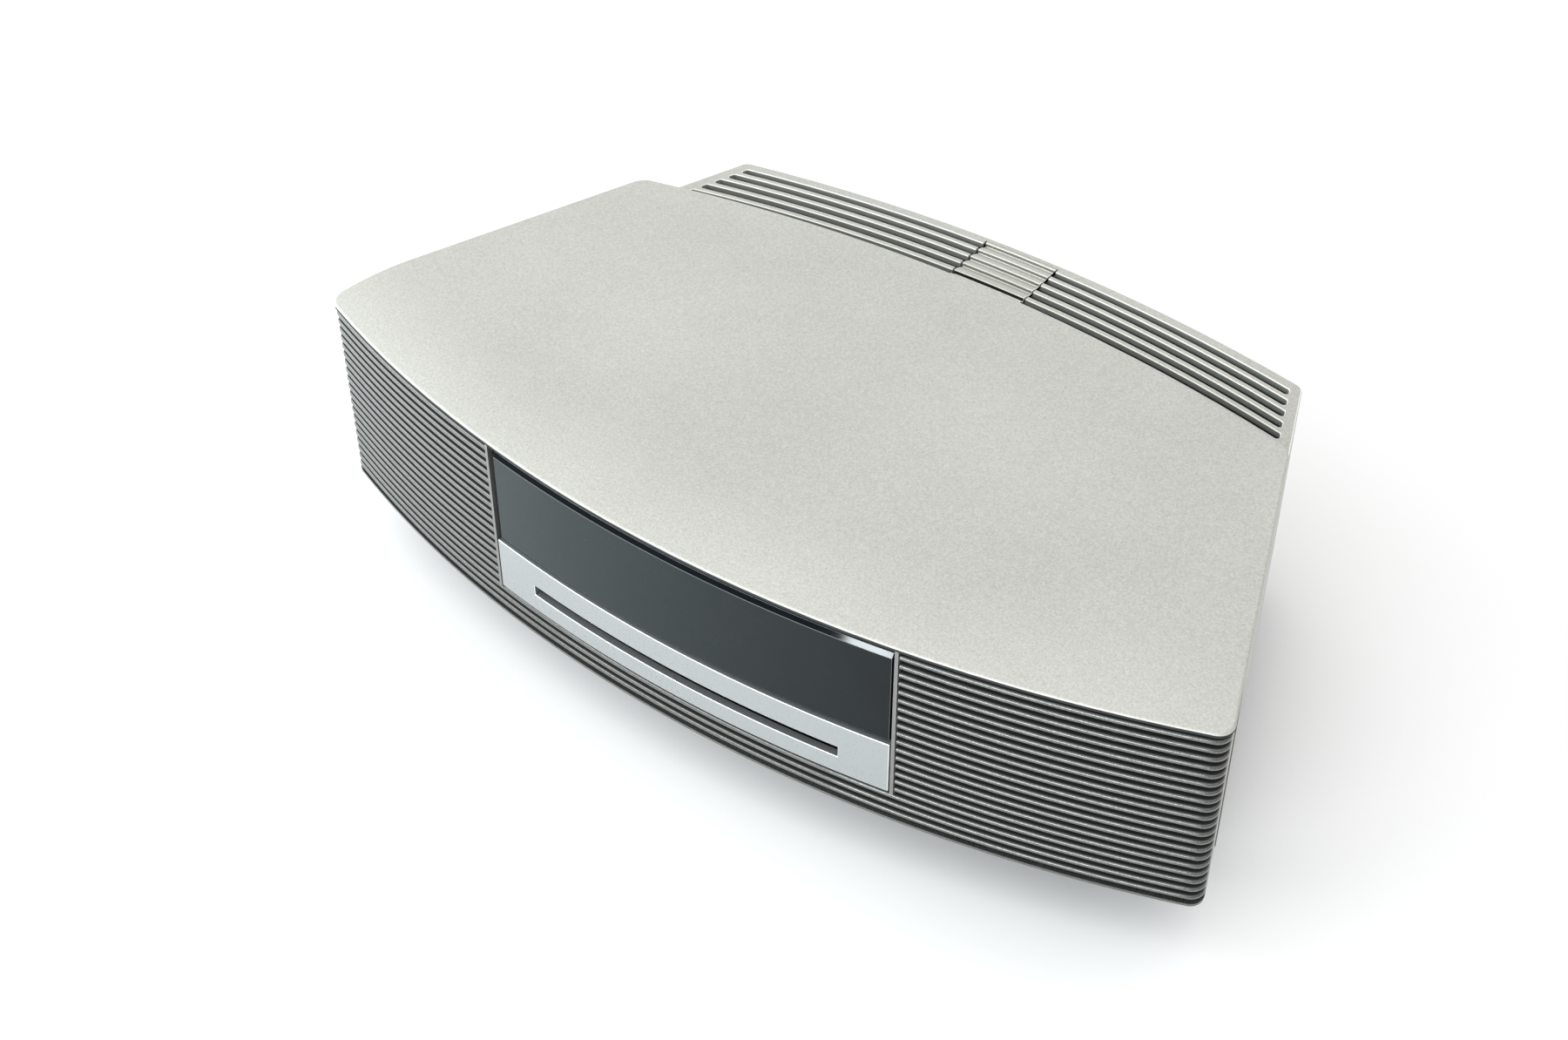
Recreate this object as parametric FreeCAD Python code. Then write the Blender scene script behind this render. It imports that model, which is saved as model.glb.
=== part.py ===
import FreeCAD, Part
import math
import os
from FreeCAD import Placement, Rotation, Vector

# A table CD radio with a disc slot, in millimetres: +Z up, front towards -Y, right towards +X.
# The origin lies under the middle of the object, on the surface that it stands on.

# Overall size
overall_width = 368.0
overall_depth = 216.4
overall_height = 106.0

# Plan outline: curved front and rear, straight sides that close towards the rear
front_arc_radius = 512.7
rear_arc_radius = 588.0
side_taper_deg = 20.5
front_corner_radius = 5.6
rear_corner_radius = 4.0
least_corner_radius = 1.5

# Lid with its rolled front edge, and the lower deck behind it
lid_front_drop = 4.9
least_lip_height = 1.5
lid_roll_length = 33.0
deck_drop = 9.7
lid_rear_inset = 39.5
lid_corner_radius = 8.0
lid_edge_fillet = 0.9
deck_edge_fillet = 0.8

# Shell
cover_wall = 2.6
deck_thickness = 3.0
lid_step_wall = 2.5
lip_clearance = 0.1
seat_gap = 0.2
lid_ceiling_insets = (3.0, 8.0, 20.0)
lid_ceiling_drops = (6.4, 4.8, 2.8)

# Ribbed grille
grille_bottom_z = 22.2
rim_height = 1.0
rib_pitch = 3.73
rib_height = 2.15
rib_inset = 0.35
rib_depth = 2.25
grille_side_end_depth = 60.2
web_inset = 2.2
web_depth = 1.2
web_width = 1.8
web_spacing = 17.0
web_zone_start = 100.0
end_post_length = 3.0
grille_foot_inset = 6.0
cloth_gap = 0.1
cloth_thickness = 0.6
cloth_margin = 0.6

# Opening in the grille, with the lens above and the slot panel below
opening_half_width = 85.4
ribs_under_panel = 3
jamb_width = 5.0
trim_width = 1.6
trim_inset = 0.9
panel_side_gap = 0.5
panel_inset = 0.1
panel_thickness = 3.1
panel_top_rise = 12.3
panel_gap = 1.15
panel_bevel = 0.5
lens_side_gap = 1.4
lens_inset = 1.2
lens_thickness = 2.4
lens_panel_gap = 0.9
lens_top_gap = 2.78
bezel_front_inset = 2.2
bezel_thickness = 4.8
bezel_flange = 6.0
bezel_top_gap = 0.2
window_side_margin = 16.4
window_low_margin = 5.8
window_high_margin = 4.6

# Disc and disc slot
disc_thickness = 1.2
disc_mid_z = 45.0
slot_half_width = 65.0
slot_height = 4.4
slot_bevel = 0.5
carrier_slot_gap = 1.0
disc_centre_depth = 80.2

# Louvres on the rear deck and the stepped bridge between them
louvre_count = 5
louvre_first_inset = 5.75
louvre_pitch = 5.35
louvre_width = 3.1
louvre_side_inset = 4.4
louvre_end_radius = 1.0
louvre_bevel = 0.4
bridge_half_width = 16.1
bridge_gap = 0.3
bridge_seat_depth = 2.2
bridge_step = 0.9
ridge_half_width = 0.6
screen_thickness = 1.0
screen_drop = 3.0
screen_margin = 2.0
screen_peg_radius = 1.5
screen_peg_x = (40.0, 90.0)
screen_peg_inset = 33.0

# Base tray and feet
foot_height = 5.0
foot_radius = 9.0
front_foot_side_inset = 59.0
front_foot_depth = 54.2
rear_foot_side_inset = 100.0
rear_foot_rear_inset = 48.2
tray_floor = 2.5
tray_wall = 4.0
tray_top_inset = 2.0
tray_rim_height = 1.7
tray_floor_inset = 26.0

# Screw posts
front_post_depth = 48.2
rear_post_side_inset = 84.0
rear_post_rear_inset = 45.7
post_radius = 3.6
post_gap = 2.4
screw_radius = 1.5
screw_head_radius = 3.0
screw_head_height = 1.6
screw_length = 14.0
screw_clearance = 0.25

# Rear connector recess
recess_half_width = 88.0
recess_bottom_z = 31.0
recess_top_z = 57.0
recess_wall = 2.0
rear_plate_inset = 10.2
rear_plate_thickness = 2.4
socket_row_z = 44.0
socket_clearance = 0.15
socket_flange_radius = 5.2
socket_flange_length = 1.2
socket_body_half = 5.6
socket_body_depth = 11.0
small_bore_radius = 1.8
small_bore_depth = 13.0
phono_sleeve_radius = 4.15
phono_sleeve_length = 6.0
phono_bore_radius = 1.6
phono_spacing = 14.0
link_flange_radius = 7.5
link_bore_radius = 4.5
link_bore_depth = 8.0
headphone_x = 66.0
line_x = 44.0
link_x = 8.0
aerial_x = -27.0
inlet_x = -66.0
inlet_half_width = 9.0
inlet_half_height = 5.0
inlet_wall = 1.6
inlet_depth = 13.0
inlet_floor = 2.0
inlet_pin_radius = 1.2
inlet_pin_offset = 4.3
inlet_pin_length = 9.0

# Loudspeakers and their ducts
speaker_x = 128.0
speaker_inset = 14.0
speaker_low_edge = 3.0
speaker_high_edge = 2.5
speaker_frame_corner = 8.0
speaker_frame_thickness = 3.0
basket_edge = 5.7
basket_wall = 1.2
basket_depth = 16.0
basket_slope = 5.3
magnet_edge = 1.0
magnet_height = 13.0
cone_basket_gap = 3.8
cone_neck_radius = 9.0
cone_depth = 9.0
cone_wall = 0.7
cap_rise = 3.5
surround_gap = 0.3
surround_seat = 3.7
surround_thickness = 0.6
surround_roll = 2.0
duct_wall = 2.2
duct_corner_depth = 28.2
duct_shoulder_depth = 53.2
duct_rear_inset = 63.2
duct_bottom_z = 24.0
duct_lid_gap = 10.5
duct_side_inset = 7.0
duct_leg_radius = 4.0
duct_front_leg = (10.0, 5.0)
duct_rear_leg = (10.0, 11.0)
duct_side_leg = (36.0, 35.0)
baffle_edge = 3.0
baffle_hole_gap = 0.7
duct_port_radius = 12.0
duct_port_x = 108.0

# Boards and power
board_thickness = 1.6
standoff_radius = 2.5
standoff_height = 5.0
main_board_half_width = 50.0
main_board_front_reach = 52.0
main_board_rear_reach = 76.0
standoff_edge = 5.0
power_board_half_width = 64.0
power_board_front_gap = 4.0
power_board_rear_gap = 13.0
board_part_edge = 2.0
transformer_x = (-62.0, -20.0)
transformer_inlet_gap = 1.0
transformer_core_height = 26.0
transformer_coil_height = 34.0
transformer_coil_margin = 7.0
heat_sink_x = (-12.0, 12.0)
heat_sink_height = 22.0
heat_sink_base = 3.0
heat_sink_fins = 6
heat_sink_fin = 1.6
tuner_x = (20.0, 60.0)
tuner_height = 16.0
tuner_wall = 0.8
display_board_side_gap = 5.4
display_board_depth = 20.2
display_board_low_margin = 1.8
display_board_high_margin = 0.4
display_tube_side_margin = 4.0
display_tube_depth = 6.0
display_tube_margin = 2.0
display_post_side_gap = 9.4
display_post_margin = 2.0
display_post_radius = 2.0
receiver_gap = 4.0
receiver_size = 5.0

# Disc mechanism: chassis, with its reach from the disc's axis and its levels from the disc's middle
chassis_half_width = 70.0
chassis_front_reach = 62.0
chassis_rear_reach = 82.0
chassis_depth = 22.5
chassis_wall = 1.5
damper_height = 3.0
damper_radius = 5.0
damper_x = 60.0
damper_front_edge = 14.0
damper_rear_edge = 10.0
top_plate_rise = 5.0
top_plate_front_reach = 34.0
top_plate_thickness = 1.5
running_gap = 0.06
shake_gap = 0.3

# Clamp puck
puck_flange_radius = 15.0
puck_flange_height = 2.5
puck_neck_radius = 8.0
puck_cap_radius = 11.0
puck_cap_height = 1.6
puck_hollow_gap = 0.8

# Lifting plate with turntable and laser
lift_travel = 4.6
lift_plate_drop = 14.0
lift_plate_thickness = 1.6
lift_plate_half_width = 40.0
lift_plate_front_reach = 20.0
lift_plate_rear_gap = 4.0
guide_post_radius = 2.0
guide_post_x = 37.5
guide_post_front_edge = 4.0
guide_post_rear_edge = 10.0
spindle_motor_radius = 12.0
spindle_motor_height = 5.6
spindle_sleeve_radius = 3.5
spindle_radius = 1.0
turntable_radius = 15.0
turntable_thickness = 3.0
hub_radius = 7.3
hub_height = 2.5
rod_radius = 1.2
rod_x = 19.0
rod_rise = 3.4
rod_block_reach = 16.0
rod_block_length = 2.0
rod_block_half_width = 35.0
rod_block_height = 5.6
sled_half_width = 24.0
sled_front_gap = 0.5
sled_length = 20.0
sled_plate_gap = 0.6
sled_height = 5.2
sled_travel = 34.0
sled_stop_gap = 1.5
lens_offset = 5.5
lens_radius = 3.0
lens_height = 1.6
lens_travel = 0.4
lens_rise = 0.4
lead_screw_x = 30.0
lead_screw_radius = 1.5
nut_wall = 1.5
sled_motor_radius = 3.2
sled_motor_length = 12.0

# Load roller on its swinging bracket, with the gear train
bracket_pivot_reach = 32.0
bracket_pivot_drop = 11.0
bracket_arm_x = 60.5
bracket_arm_thickness = 2.0
bracket_arm_half_height = 4.0
bracket_pin_radius = 1.5
bracket_bar_front = 6.0
bracket_bar_rear = 1.0
bracket_bar_low = 5.5
bracket_bar_high = 3.0
roller_radius = 6.0
roller_half_length = 58.0
roller_disc_gap = 0.3
roller_shaft_radius = 1.5
gear_module = 0.8
gear_width = 3.5
gear_gap = 0.6
idler_teeth = 20
roller_teeth = 18
pinion_teeth = 12
pressure_angle_deg = 20.0
gear_backlash = 0.16
addendum_factor = 0.8
dedendum_factor = 1.1
flank_points = 4
load_motor_radius = 7.5
load_motor_length = 20.0
load_motor_shaft_radius = 1.0

# Levels and places that follow from the sizes above
front_y = -overall_depth / 2
rear_y = overall_depth / 2
half_width = overall_width / 2
lid_top_z = overall_height
deck_z = lid_top_z - deck_drop
deck_ceiling_z = deck_z - deck_thickness
front_centre_y = front_y + front_arc_radius
rear_centre_y = rear_y - rear_arc_radius
lid_rear_radius = rear_arc_radius - lid_rear_inset
louvre_first_radius = rear_arc_radius - louvre_first_inset
screen_peg_ring = rear_arc_radius - screen_peg_inset
taper = math.radians(side_taper_deg)
side_normal = Vector(math.cos(taper), math.sin(taper), 0)
side_along = Vector(-math.sin(taper), math.cos(taper), 0)
front_centre = Vector(0, front_centre_y, 0)
rear_centre = Vector(0, rear_centre_y, 0)
corner_x = half_width - front_corner_radius
corner_reach = front_arc_radius - front_corner_radius
corner_y = front_centre_y - math.sqrt(corner_reach ** 2 - corner_x ** 2)
side_reach = side_normal.dot(Vector(corner_x, corner_y, 0)) + front_corner_radius
groove_height = rib_pitch - rib_height
ribs_bottom_z = grille_bottom_z + rim_height
first_rib_z = ribs_bottom_z + groove_height + rib_height / 2
ribs_top_limit = lid_top_z - lid_front_drop - least_lip_height - groove_height
rib_count = int((ribs_top_limit - ribs_bottom_z) / rib_pitch)
grille_top_z = ribs_bottom_z + rib_count * rib_pitch + groove_height
grille_side_end_y = front_y + grille_side_end_depth
opening_bottom_z = ribs_bottom_z + ribs_under_panel * rib_pitch
panel_bottom_z = opening_bottom_z + panel_gap
panel_top_z = disc_mid_z + panel_top_rise
lip_z = grille_top_z + lip_clearance
web_back_inset = web_inset + web_depth
cloth_inset = web_back_inset + cloth_gap
carrier_inset = web_back_inset + cloth_gap
carrier_back_inset = carrier_inset + bezel_thickness
trim_inner_x = opening_half_width - trim_width
panel_half_width = trim_inner_x - panel_side_gap
lens_half_width = trim_inner_x - lens_side_gap
lens_bottom_z = panel_top_z + lens_panel_gap
lens_top_z = grille_top_z - lens_top_gap
display_window_half_width = lens_half_width - window_side_margin
display_window_bottom_z = lens_bottom_z + window_low_margin
display_window_top_z = lens_top_z - window_high_margin
bezel_half_width = trim_inner_x - seat_gap
bezel_top_z = grille_top_z - bezel_top_gap
display_board_y = front_y + display_board_depth
display_board_half_width = opening_half_width - display_board_side_gap
display_board_z = (lens_bottom_z + display_board_low_margin, lens_top_z + display_board_high_margin)
display_tube_half_width = display_window_half_width - display_tube_side_margin
display_post_x = opening_half_width - display_post_side_gap
display_post_z = (display_window_bottom_z + display_post_margin, display_window_top_z - display_post_margin)
receiver_x = display_window_half_width + receiver_gap
receiver_z = (display_window_bottom_z + display_window_top_z) / 2
slot_bottom_z = disc_mid_z - slot_height / 2
slot_top_z = disc_mid_z + slot_height / 2
tray_floor_z = foot_height
tray_floor_top_z = tray_floor_z + tray_floor
disc_centre_y = front_y + disc_centre_depth
disc_bottom_z = disc_mid_z - disc_thickness / 2
disc_top_z = disc_mid_z + disc_thickness / 2
turntable_top_z = disc_bottom_z - lift_travel
chassis_front_y = disc_centre_y - chassis_front_reach
chassis_rear_y = disc_centre_y + chassis_rear_reach
chassis_floor_z = disc_mid_z - chassis_depth
damper_y = (chassis_front_y + damper_front_edge, chassis_rear_y - damper_rear_edge)
top_plate_z = disc_mid_z + top_plate_rise
top_plate_front_y = disc_centre_y - top_plate_front_reach
lift_plate_z = disc_mid_z - lift_plate_drop
lift_plate_top_z = lift_plate_z + lift_plate_thickness
lift_plate_front_y = disc_centre_y - lift_plate_front_reach
lift_plate_rear_y = chassis_rear_y - lift_plate_rear_gap
guide_post_y = (lift_plate_front_y + guide_post_front_edge, lift_plate_rear_y - guide_post_rear_edge)
rod_z = lift_plate_top_z + rod_rise
rod_block_front_y = disc_centre_y + rod_block_reach
sled_front_y = rod_block_front_y + rod_block_length + sled_front_gap
sled_bottom_z = lift_plate_top_z + sled_plate_gap
bracket_pivot_y = disc_centre_y - bracket_pivot_reach
bracket_pivot_z = disc_mid_z - bracket_pivot_drop
bracket_bar_y = (bracket_pivot_y - bracket_bar_front, bracket_pivot_y - bracket_bar_rear)
bracket_bar_z = (bracket_pivot_z - bracket_bar_low, bracket_pivot_z - bracket_bar_high)
roller_z = disc_bottom_z - roller_disc_gap - roller_radius
roller_distance = gear_module * (idler_teeth + roller_teeth) / 2
roller_y = bracket_pivot_y - math.sqrt(roller_distance ** 2 - (roller_z - bracket_pivot_z) ** 2)
pinion_y = bracket_pivot_y + gear_module * (idler_teeth + pinion_teeth) / 2
gear_x = bracket_arm_x + bracket_arm_thickness + gear_gap
front_post = (chassis_half_width + post_gap + post_radius, front_y + front_post_depth)
rear_post = (half_width - rear_post_side_inset, rear_y - rear_post_rear_inset)
front_foot = (half_width - front_foot_side_inset, front_y + front_foot_depth)
rear_foot = (half_width - rear_foot_side_inset, rear_y - rear_foot_rear_inset)
rear_plate_y = rear_y - rear_plate_inset
duct_inner_x = front_post[0] + post_radius + post_gap
duct_corner_y = front_y + duct_corner_depth
duct_shoulder_y = front_y + duct_shoulder_depth
duct_rear_y = rear_y - duct_rear_inset
duct_top_z = lid_top_z - duct_lid_gap
duct_legs = (
    (duct_inner_x + duct_front_leg[0], duct_shoulder_y + duct_front_leg[1]),
    (duct_inner_x + duct_rear_leg[0], duct_rear_y - duct_rear_leg[1]),
    (duct_inner_x + duct_side_leg[0], duct_rear_y - duct_side_leg[1]),
)
speaker_angle = math.asin(speaker_x / front_arc_radius)
speaker_frame = duct_top_z - speaker_high_edge - duct_bottom_z - speaker_low_edge
speaker_z = duct_bottom_z + speaker_low_edge + speaker_frame / 2
baffle_half_width = speaker_frame / 2 + baffle_edge
basket_hole_radius = speaker_frame / 2 - basket_edge
basket_rear_radius = basket_hole_radius - basket_slope
magnet_radius = basket_rear_radius + magnet_edge
cone_outer_radius = basket_hole_radius - cone_basket_gap
surround_outer_radius = basket_hole_radius + surround_seat
main_board_front_y = disc_centre_y - main_board_front_reach
main_board_rear_y = disc_centre_y + main_board_rear_reach
power_board_front_y = chassis_rear_y + power_board_front_gap
power_board_rear_y = rear_plate_y - power_board_rear_gap
transformer_y = (power_board_front_y + board_part_edge,
                 rear_plate_y - inlet_depth - inlet_floor - transformer_inlet_gap)
heat_sink_y = (power_board_front_y + board_part_edge, power_board_rear_y - board_part_edge)
tuner_y = heat_sink_y
board_z = tray_floor_top_z + standoff_height
board_top_z = board_z + board_thickness
spindle_motor_z = lift_plate_z - spindle_motor_height
sled_top_z = sled_bottom_z + sled_height
lens_y = sled_front_y + lens_offset
rod_block_rear_y = sled_front_y + sled_length + sled_travel + sled_stop_gap

UP = Vector(0, 0, 1)
RIGHT = Vector(1, 0, 0)
BACK = Vector(0, 1, 0)
# Past the end of the object in every direction
FAR = 2 * overall_width
# Largest difference between two places that count as the same
TINY = 1e-3
# Overshoot of a cutting tool through the face that it leaves by
OVER = 1.0
SIDES = (("left", -1), ("right", 1))


def box(x, y, z):
    """Block between pairs of coordinates."""
    x, y, z = sorted(x), sorted(y), sorted(z)
    return Part.makeBox(x[1] - x[0], y[1] - y[0], z[1] - z[0], Vector(x[0], y[0], z[0]))


def rod(radius, start, axis, length):
    return Part.makeCylinder(radius, length, start, axis)


def joined(shapes):
    return shapes[0].multiFuse(shapes[1:]).removeSplitter()


def ring(centre, inner, outer, z):
    """Upright ring about an arc centre, between two radii and two heights."""
    start = centre + UP * z[0]
    height = z[1] - z[0]
    return rod(outer, start, UP, height).cut(rod(inner, start - UP * OVER, UP, height + 2 * OVER))


def corner_centre(arc_centre, arc_radius, side, corner, step):
    """Centre of a corner circle that touches an arc and the right side line from inside."""
    start = side_normal * (side - corner)
    offset = start - arc_centre
    along = offset.dot(side_along)
    reach = arc_radius - corner
    return start + side_along * (step * math.sqrt(along ** 2 - offset.dot(offset) + reach ** 2) - along)


def outline_edges(inset, z):
    """Edges of the right half's front corner, side and rear corner, drawn in by an inset."""
    side = side_reach - inset
    front_radius = front_arc_radius - inset
    rear_radius = rear_arc_radius - inset
    front_corner = max(front_corner_radius - inset, least_corner_radius)
    rear_corner = max(rear_corner_radius - inset, least_corner_radius)
    front = corner_centre(front_centre, front_radius, side, front_corner, -1)
    rear = corner_centre(rear_centre, rear_radius, side, rear_corner, 1)
    front_way = (front - front_centre).normalize()
    rear_way = (rear - rear_centre).normalize()
    front_mid = (front_way + side_normal).normalize()
    rear_mid = (rear_way + side_normal).normalize()
    rise = UP * z
    return {
        "front": (front + front_way * front_corner + rise, front + front_mid * front_corner + rise,
                  front + side_normal * front_corner + rise),
        "rear": (rear + side_normal * rear_corner + rise, rear + rear_mid * rear_corner + rise,
                 rear + rear_way * rear_corner + rise),
        "front_apex": Vector(0, front_centre_y - front_radius, z),
        "rear_apex": Vector(0, rear_centre_y + rear_radius, z),
    }


def mirrored(point):
    return Vector(-point.x, point.y, point.z)


def outline(inset, z):
    """Closed plan outline, drawn in by an inset, at one height."""
    half = outline_edges(inset, z)
    front, rear = half["front"], half["rear"]
    left_front = [mirrored(point) for point in reversed(front)]
    left_rear = [mirrored(point) for point in reversed(rear)]
    edges = [
        Part.Arc(left_front[2], half["front_apex"], front[0]).toShape(),
        Part.Arc(*front).toShape(),
        Part.LineSegment(front[2], rear[0]).toShape(),
        Part.Arc(*rear).toShape(),
        Part.Arc(rear[2], half["rear_apex"], left_rear[0]).toShape(),
        Part.Arc(*left_rear).toShape(),
        Part.LineSegment(left_rear[2], left_front[0]).toShape(),
        Part.Arc(*left_front).toShape(),
    ]
    return Part.Wire(edges)


def slab(inset, z):
    """Solid of the plan outline between two heights."""
    return Part.Face(outline(inset, z[0])).extrude(UP * (z[1] - z[0]))


def shell(outer, inner, z):
    """Upright wall between two insets and two heights."""
    return slab(outer, z).cut(slab(inner, (z[0] - OVER, z[1] + OVER)))


def front_band(half_width, outer, inner, z):
    """Piece of the curved front between two insets, within a half width."""
    return shell(outer, inner, z).common(box((-half_width, half_width), (-FAR, 0), z))


# Outer case

def lid_roll_tool():
    """Everything above the rolled front edge of the lid, turned about the front arc's axis."""
    radius = (lid_roll_length ** 2 + lid_front_drop ** 2) / (2 * lid_front_drop)

    def on_roll(length):
        drop = radius - math.sqrt(radius ** 2 - length ** 2)
        return Vector(front_arc_radius - lid_roll_length + length, front_centre_y, lid_top_z - drop)

    start, end = on_roll(0), on_roll(lid_roll_length + OVER)
    top = lid_top_z + OVER
    profile = Part.Wire([
        Part.Arc(start, on_roll(lid_roll_length / 2), end).toShape(),
        Part.makePolygon([end, Vector(end.x, end.y, top), Vector(start.x, start.y, top), start]),
    ])
    return Part.Face(profile).revolve(front_centre, UP, 360)


def lid_ceiling():
    """Hollow under the lid, in steps that follow its rolled edge."""
    low = deck_ceiling_z - OVER
    levels = zip(lid_ceiling_insets, lid_ceiling_drops)
    steps = [slab(inset, (low, lid_top_z - drop)) for inset, drop in levels]
    return joined(steps).common(rod(lid_rear_radius - lid_step_wall, rear_centre + UP * low, UP, FAR))


def louvre_radius(index):
    return louvre_first_radius - index * louvre_pitch


def louvre_strips(growth, z):
    """Five curved strips on each side of the bridge, rounded where they end along the tapered sides."""
    half = louvre_width / 2 + growth
    bridge = bridge_half_width - OVER
    zone = slab(louvre_side_inset - growth, z).common(box((-FAR, FAR), (0, FAR), z))
    zone = zone.cut(box((-bridge, bridge), (0, FAR), z))
    strips = []
    for index in range(louvre_count):
        radius = louvre_radius(index)
        for strip in ring(rear_centre, radius - half, radius + half, z).common(zone).Solids:
            ends = [edge for edge in strip.Edges if on_outer_end(edge)]
            strips.append(strip.makeFillet(louvre_end_radius + growth, ends))
    return strips


def on_outer_end(edge):
    """Whether an edge stands upright, away from the bridge."""
    bounds = edge.BoundBox
    upright = bounds.ZLength > max(bounds.XLength, bounds.YLength)
    return upright and min(abs(bounds.XMin), abs(bounds.XMax)) > bridge_half_width


def louvre_slots():
    """Tools for the slots and for the bevel round their upper edge."""
    slots = louvre_strips(0, (deck_ceiling_z - OVER, deck_z + OVER))
    bevels = []
    for strip in louvre_strips(louvre_bevel, (deck_z - louvre_bevel, deck_z + OVER)):
        low = [edge for edge in strip.Edges if edge.BoundBox.ZMax < deck_z]
        bevels.append(strip.makeChamfer(louvre_bevel, low))
    return slots + bevels


def bridge_front_radius():
    return lid_rear_radius + bridge_gap


def bridge_rear_radius():
    return louvre_first_radius + louvre_pitch / 2 + ridge_half_width


def bridge_recess():
    span = (-bridge_half_width, bridge_half_width)
    z = (deck_z - bridge_seat_depth, deck_z + OVER)
    seat = ring(rear_centre, lid_rear_radius, bridge_rear_radius() + bridge_gap, z)
    return seat.common(box(span, (0, FAR), z))


def recess_frame():
    """Walls of the connector recess, from the rear wall in to the rear plate."""
    reach = (rear_plate_y, rear_y)
    wide = recess_half_width + recess_wall
    frame = box((-wide, wide), reach, (recess_bottom_z - recess_wall, recess_top_z + recess_wall))
    return frame.common(slab(cover_wall / 2, (grille_bottom_z, deck_z))).cut(recess_window())


def recess_window():
    span = (-recess_half_width, recess_half_width)
    return box(span, (rear_plate_y - OVER, FAR), (recess_bottom_z, recess_top_z))


def post_places():
    return [(side * x, y) for _, side in SIDES for x, y in (front_post, rear_post)]


def cover_posts():
    """Screw posts from the tray's floor up into the lid and the deck."""
    posts = []
    for _, side in SIDES:
        tops = ((front_post, lid_top_z - lid_ceiling_drops[-1]), (rear_post, deck_ceiling_z))
        for (x, y), top in tops:
            base = Vector(side * x, y, tray_floor_top_z)
            post = rod(post_radius, base, UP, top + OVER / 2 - tray_floor_top_z)
            posts.append(post.cut(rod(screw_radius, base - UP * OVER, UP, screw_length + OVER)))
    return posts


def screen_pegs():
    """Pegs that hold each vent screen under the louvres."""
    pegs = []
    for _, side in SIDES:
        for x in screen_peg_x:
            y = rear_centre_y + math.sqrt(screen_peg_ring ** 2 - x ** 2)
            pegs.append(rod(screen_peg_radius, Vector(side * x, y, deck_ceiling_z - screen_drop), UP,
                            screen_drop + OVER / 2))
    return pegs


def rounded_top(block):
    """Small round on the lid's outer edge, its rear edge and the deck's outer edge."""
    block = block.makeFillet(lid_corner_radius, [edge for edge in block.Edges if on_lid_corner(edge)])
    high = [edge for edge in block.Edges if edge.BoundBox.ZMin > deck_z + OVER]
    rounded = block.makeFillet(lid_edge_fillet, high)
    return rounded.makeFillet(deck_edge_fillet, [edge for edge in rounded.Edges if on_deck_rim(edge)])


def on_lid_corner(edge):
    """Whether an edge stands upright between the deck and the lid's top, at a rear corner of the lid."""
    bounds = edge.BoundBox
    return bounds.ZLength > deck_drop - TINY and abs(bounds.ZMin - deck_z) < TINY


def on_deck_rim(edge):
    """Whether an edge lies level on the deck's outline, away from the lid's step."""
    bounds = edge.BoundBox
    middle = edge.valueAt((edge.FirstParameter + edge.LastParameter) / 2)
    level = max(abs(bounds.ZMax - deck_z), abs(bounds.ZMin - deck_z)) < TINY
    return level and (Vector(middle.x, middle.y, 0) - rear_centre).Length > lid_rear_radius + OVER


def make_top_cover():
    block = slab(0, (grille_bottom_z, lid_top_z)).cut(lid_roll_tool())
    behind = ring(rear_centre, lid_rear_radius, FAR * 2, (deck_z, lid_top_z + OVER))
    block = block.cut(behind.common(box((-FAR, FAR), (0, FAR), (0, FAR)))).removeSplitter()
    block = rounded_top(block)
    hollow = slab(cover_wall, (grille_bottom_z - OVER, deck_ceiling_z)).fuse(lid_ceiling())
    cover = block.cut(hollow)
    front_gap = grille_side_end_y + seat_gap
    cover = cover.cut(box((-FAR, FAR), (-FAR, front_gap), (0, lip_z)))
    cover = joined([cover, recess_frame()] + cover_posts() + screen_pegs())
    return cover.cut([recess_window(), bridge_recess()] + louvre_slots()).removeSplitter()


def make_vent_bridge():
    """Stepped strip between the louvres, with a ridge in line with each bar."""
    low = deck_z - bridge_seat_depth
    points = [Vector(bridge_rear_radius(), 0, low), Vector(bridge_rear_radius(), 0, deck_z)]
    for index in range(louvre_count):
        ridge = louvre_radius(index) + louvre_pitch / 2
        points.append(Vector(ridge - ridge_half_width, 0, deck_z))
        points.append(Vector(ridge - ridge_half_width - bridge_gap, 0, deck_z - bridge_step))
        if index < louvre_count - 1:
            points.append(Vector(ridge - louvre_pitch + ridge_half_width, 0, deck_z))
    front = bridge_front_radius()
    points += [Vector(front, 0, deck_z - bridge_step), Vector(front, 0, low)]
    profile = Part.Face(Part.makePolygon([point + rear_centre for point in points + points[:1]]))
    half = bridge_half_width - bridge_gap
    strip = profile.revolve(rear_centre, UP, 180)
    return strip.common(box((-half, half), (0, FAR), (low - OVER, deck_z + OVER)))


def make_vent_screen(side):
    top = deck_ceiling_z - screen_drop
    z = (top - screen_thickness, top)
    zone = box((side * bridge_half_width, side * FAR), (rear_post[1] + post_radius + seat_gap, FAR), z)
    screen = slab(cover_wall + seat_gap, z).common(zone)
    return screen.cut(rod(screen_peg_ring - screen_margin, rear_centre, UP, FAR))


# Ribbed grille and the pieces in its opening

def front_path(inset, z):
    """Open path round the front, from the left side's end to the right side's end."""
    half = outline_edges(inset, z)
    corner = half["front"]
    start = corner[2]
    along = (grille_side_end_y - start.y) / side_along.y
    end = start + side_along * along
    left = [mirrored(point) for point in reversed(corner)]
    return Part.Wire([
        Part.LineSegment(mirrored(end), left[0]).toShape(),
        Part.Arc(*left).toShape(),
        Part.Arc(left[2], half["front_apex"], corner[0]).toShape(),
        Part.Arc(*corner).toShape(),
        Part.LineSegment(start, end).toShape(),
    ])


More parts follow.
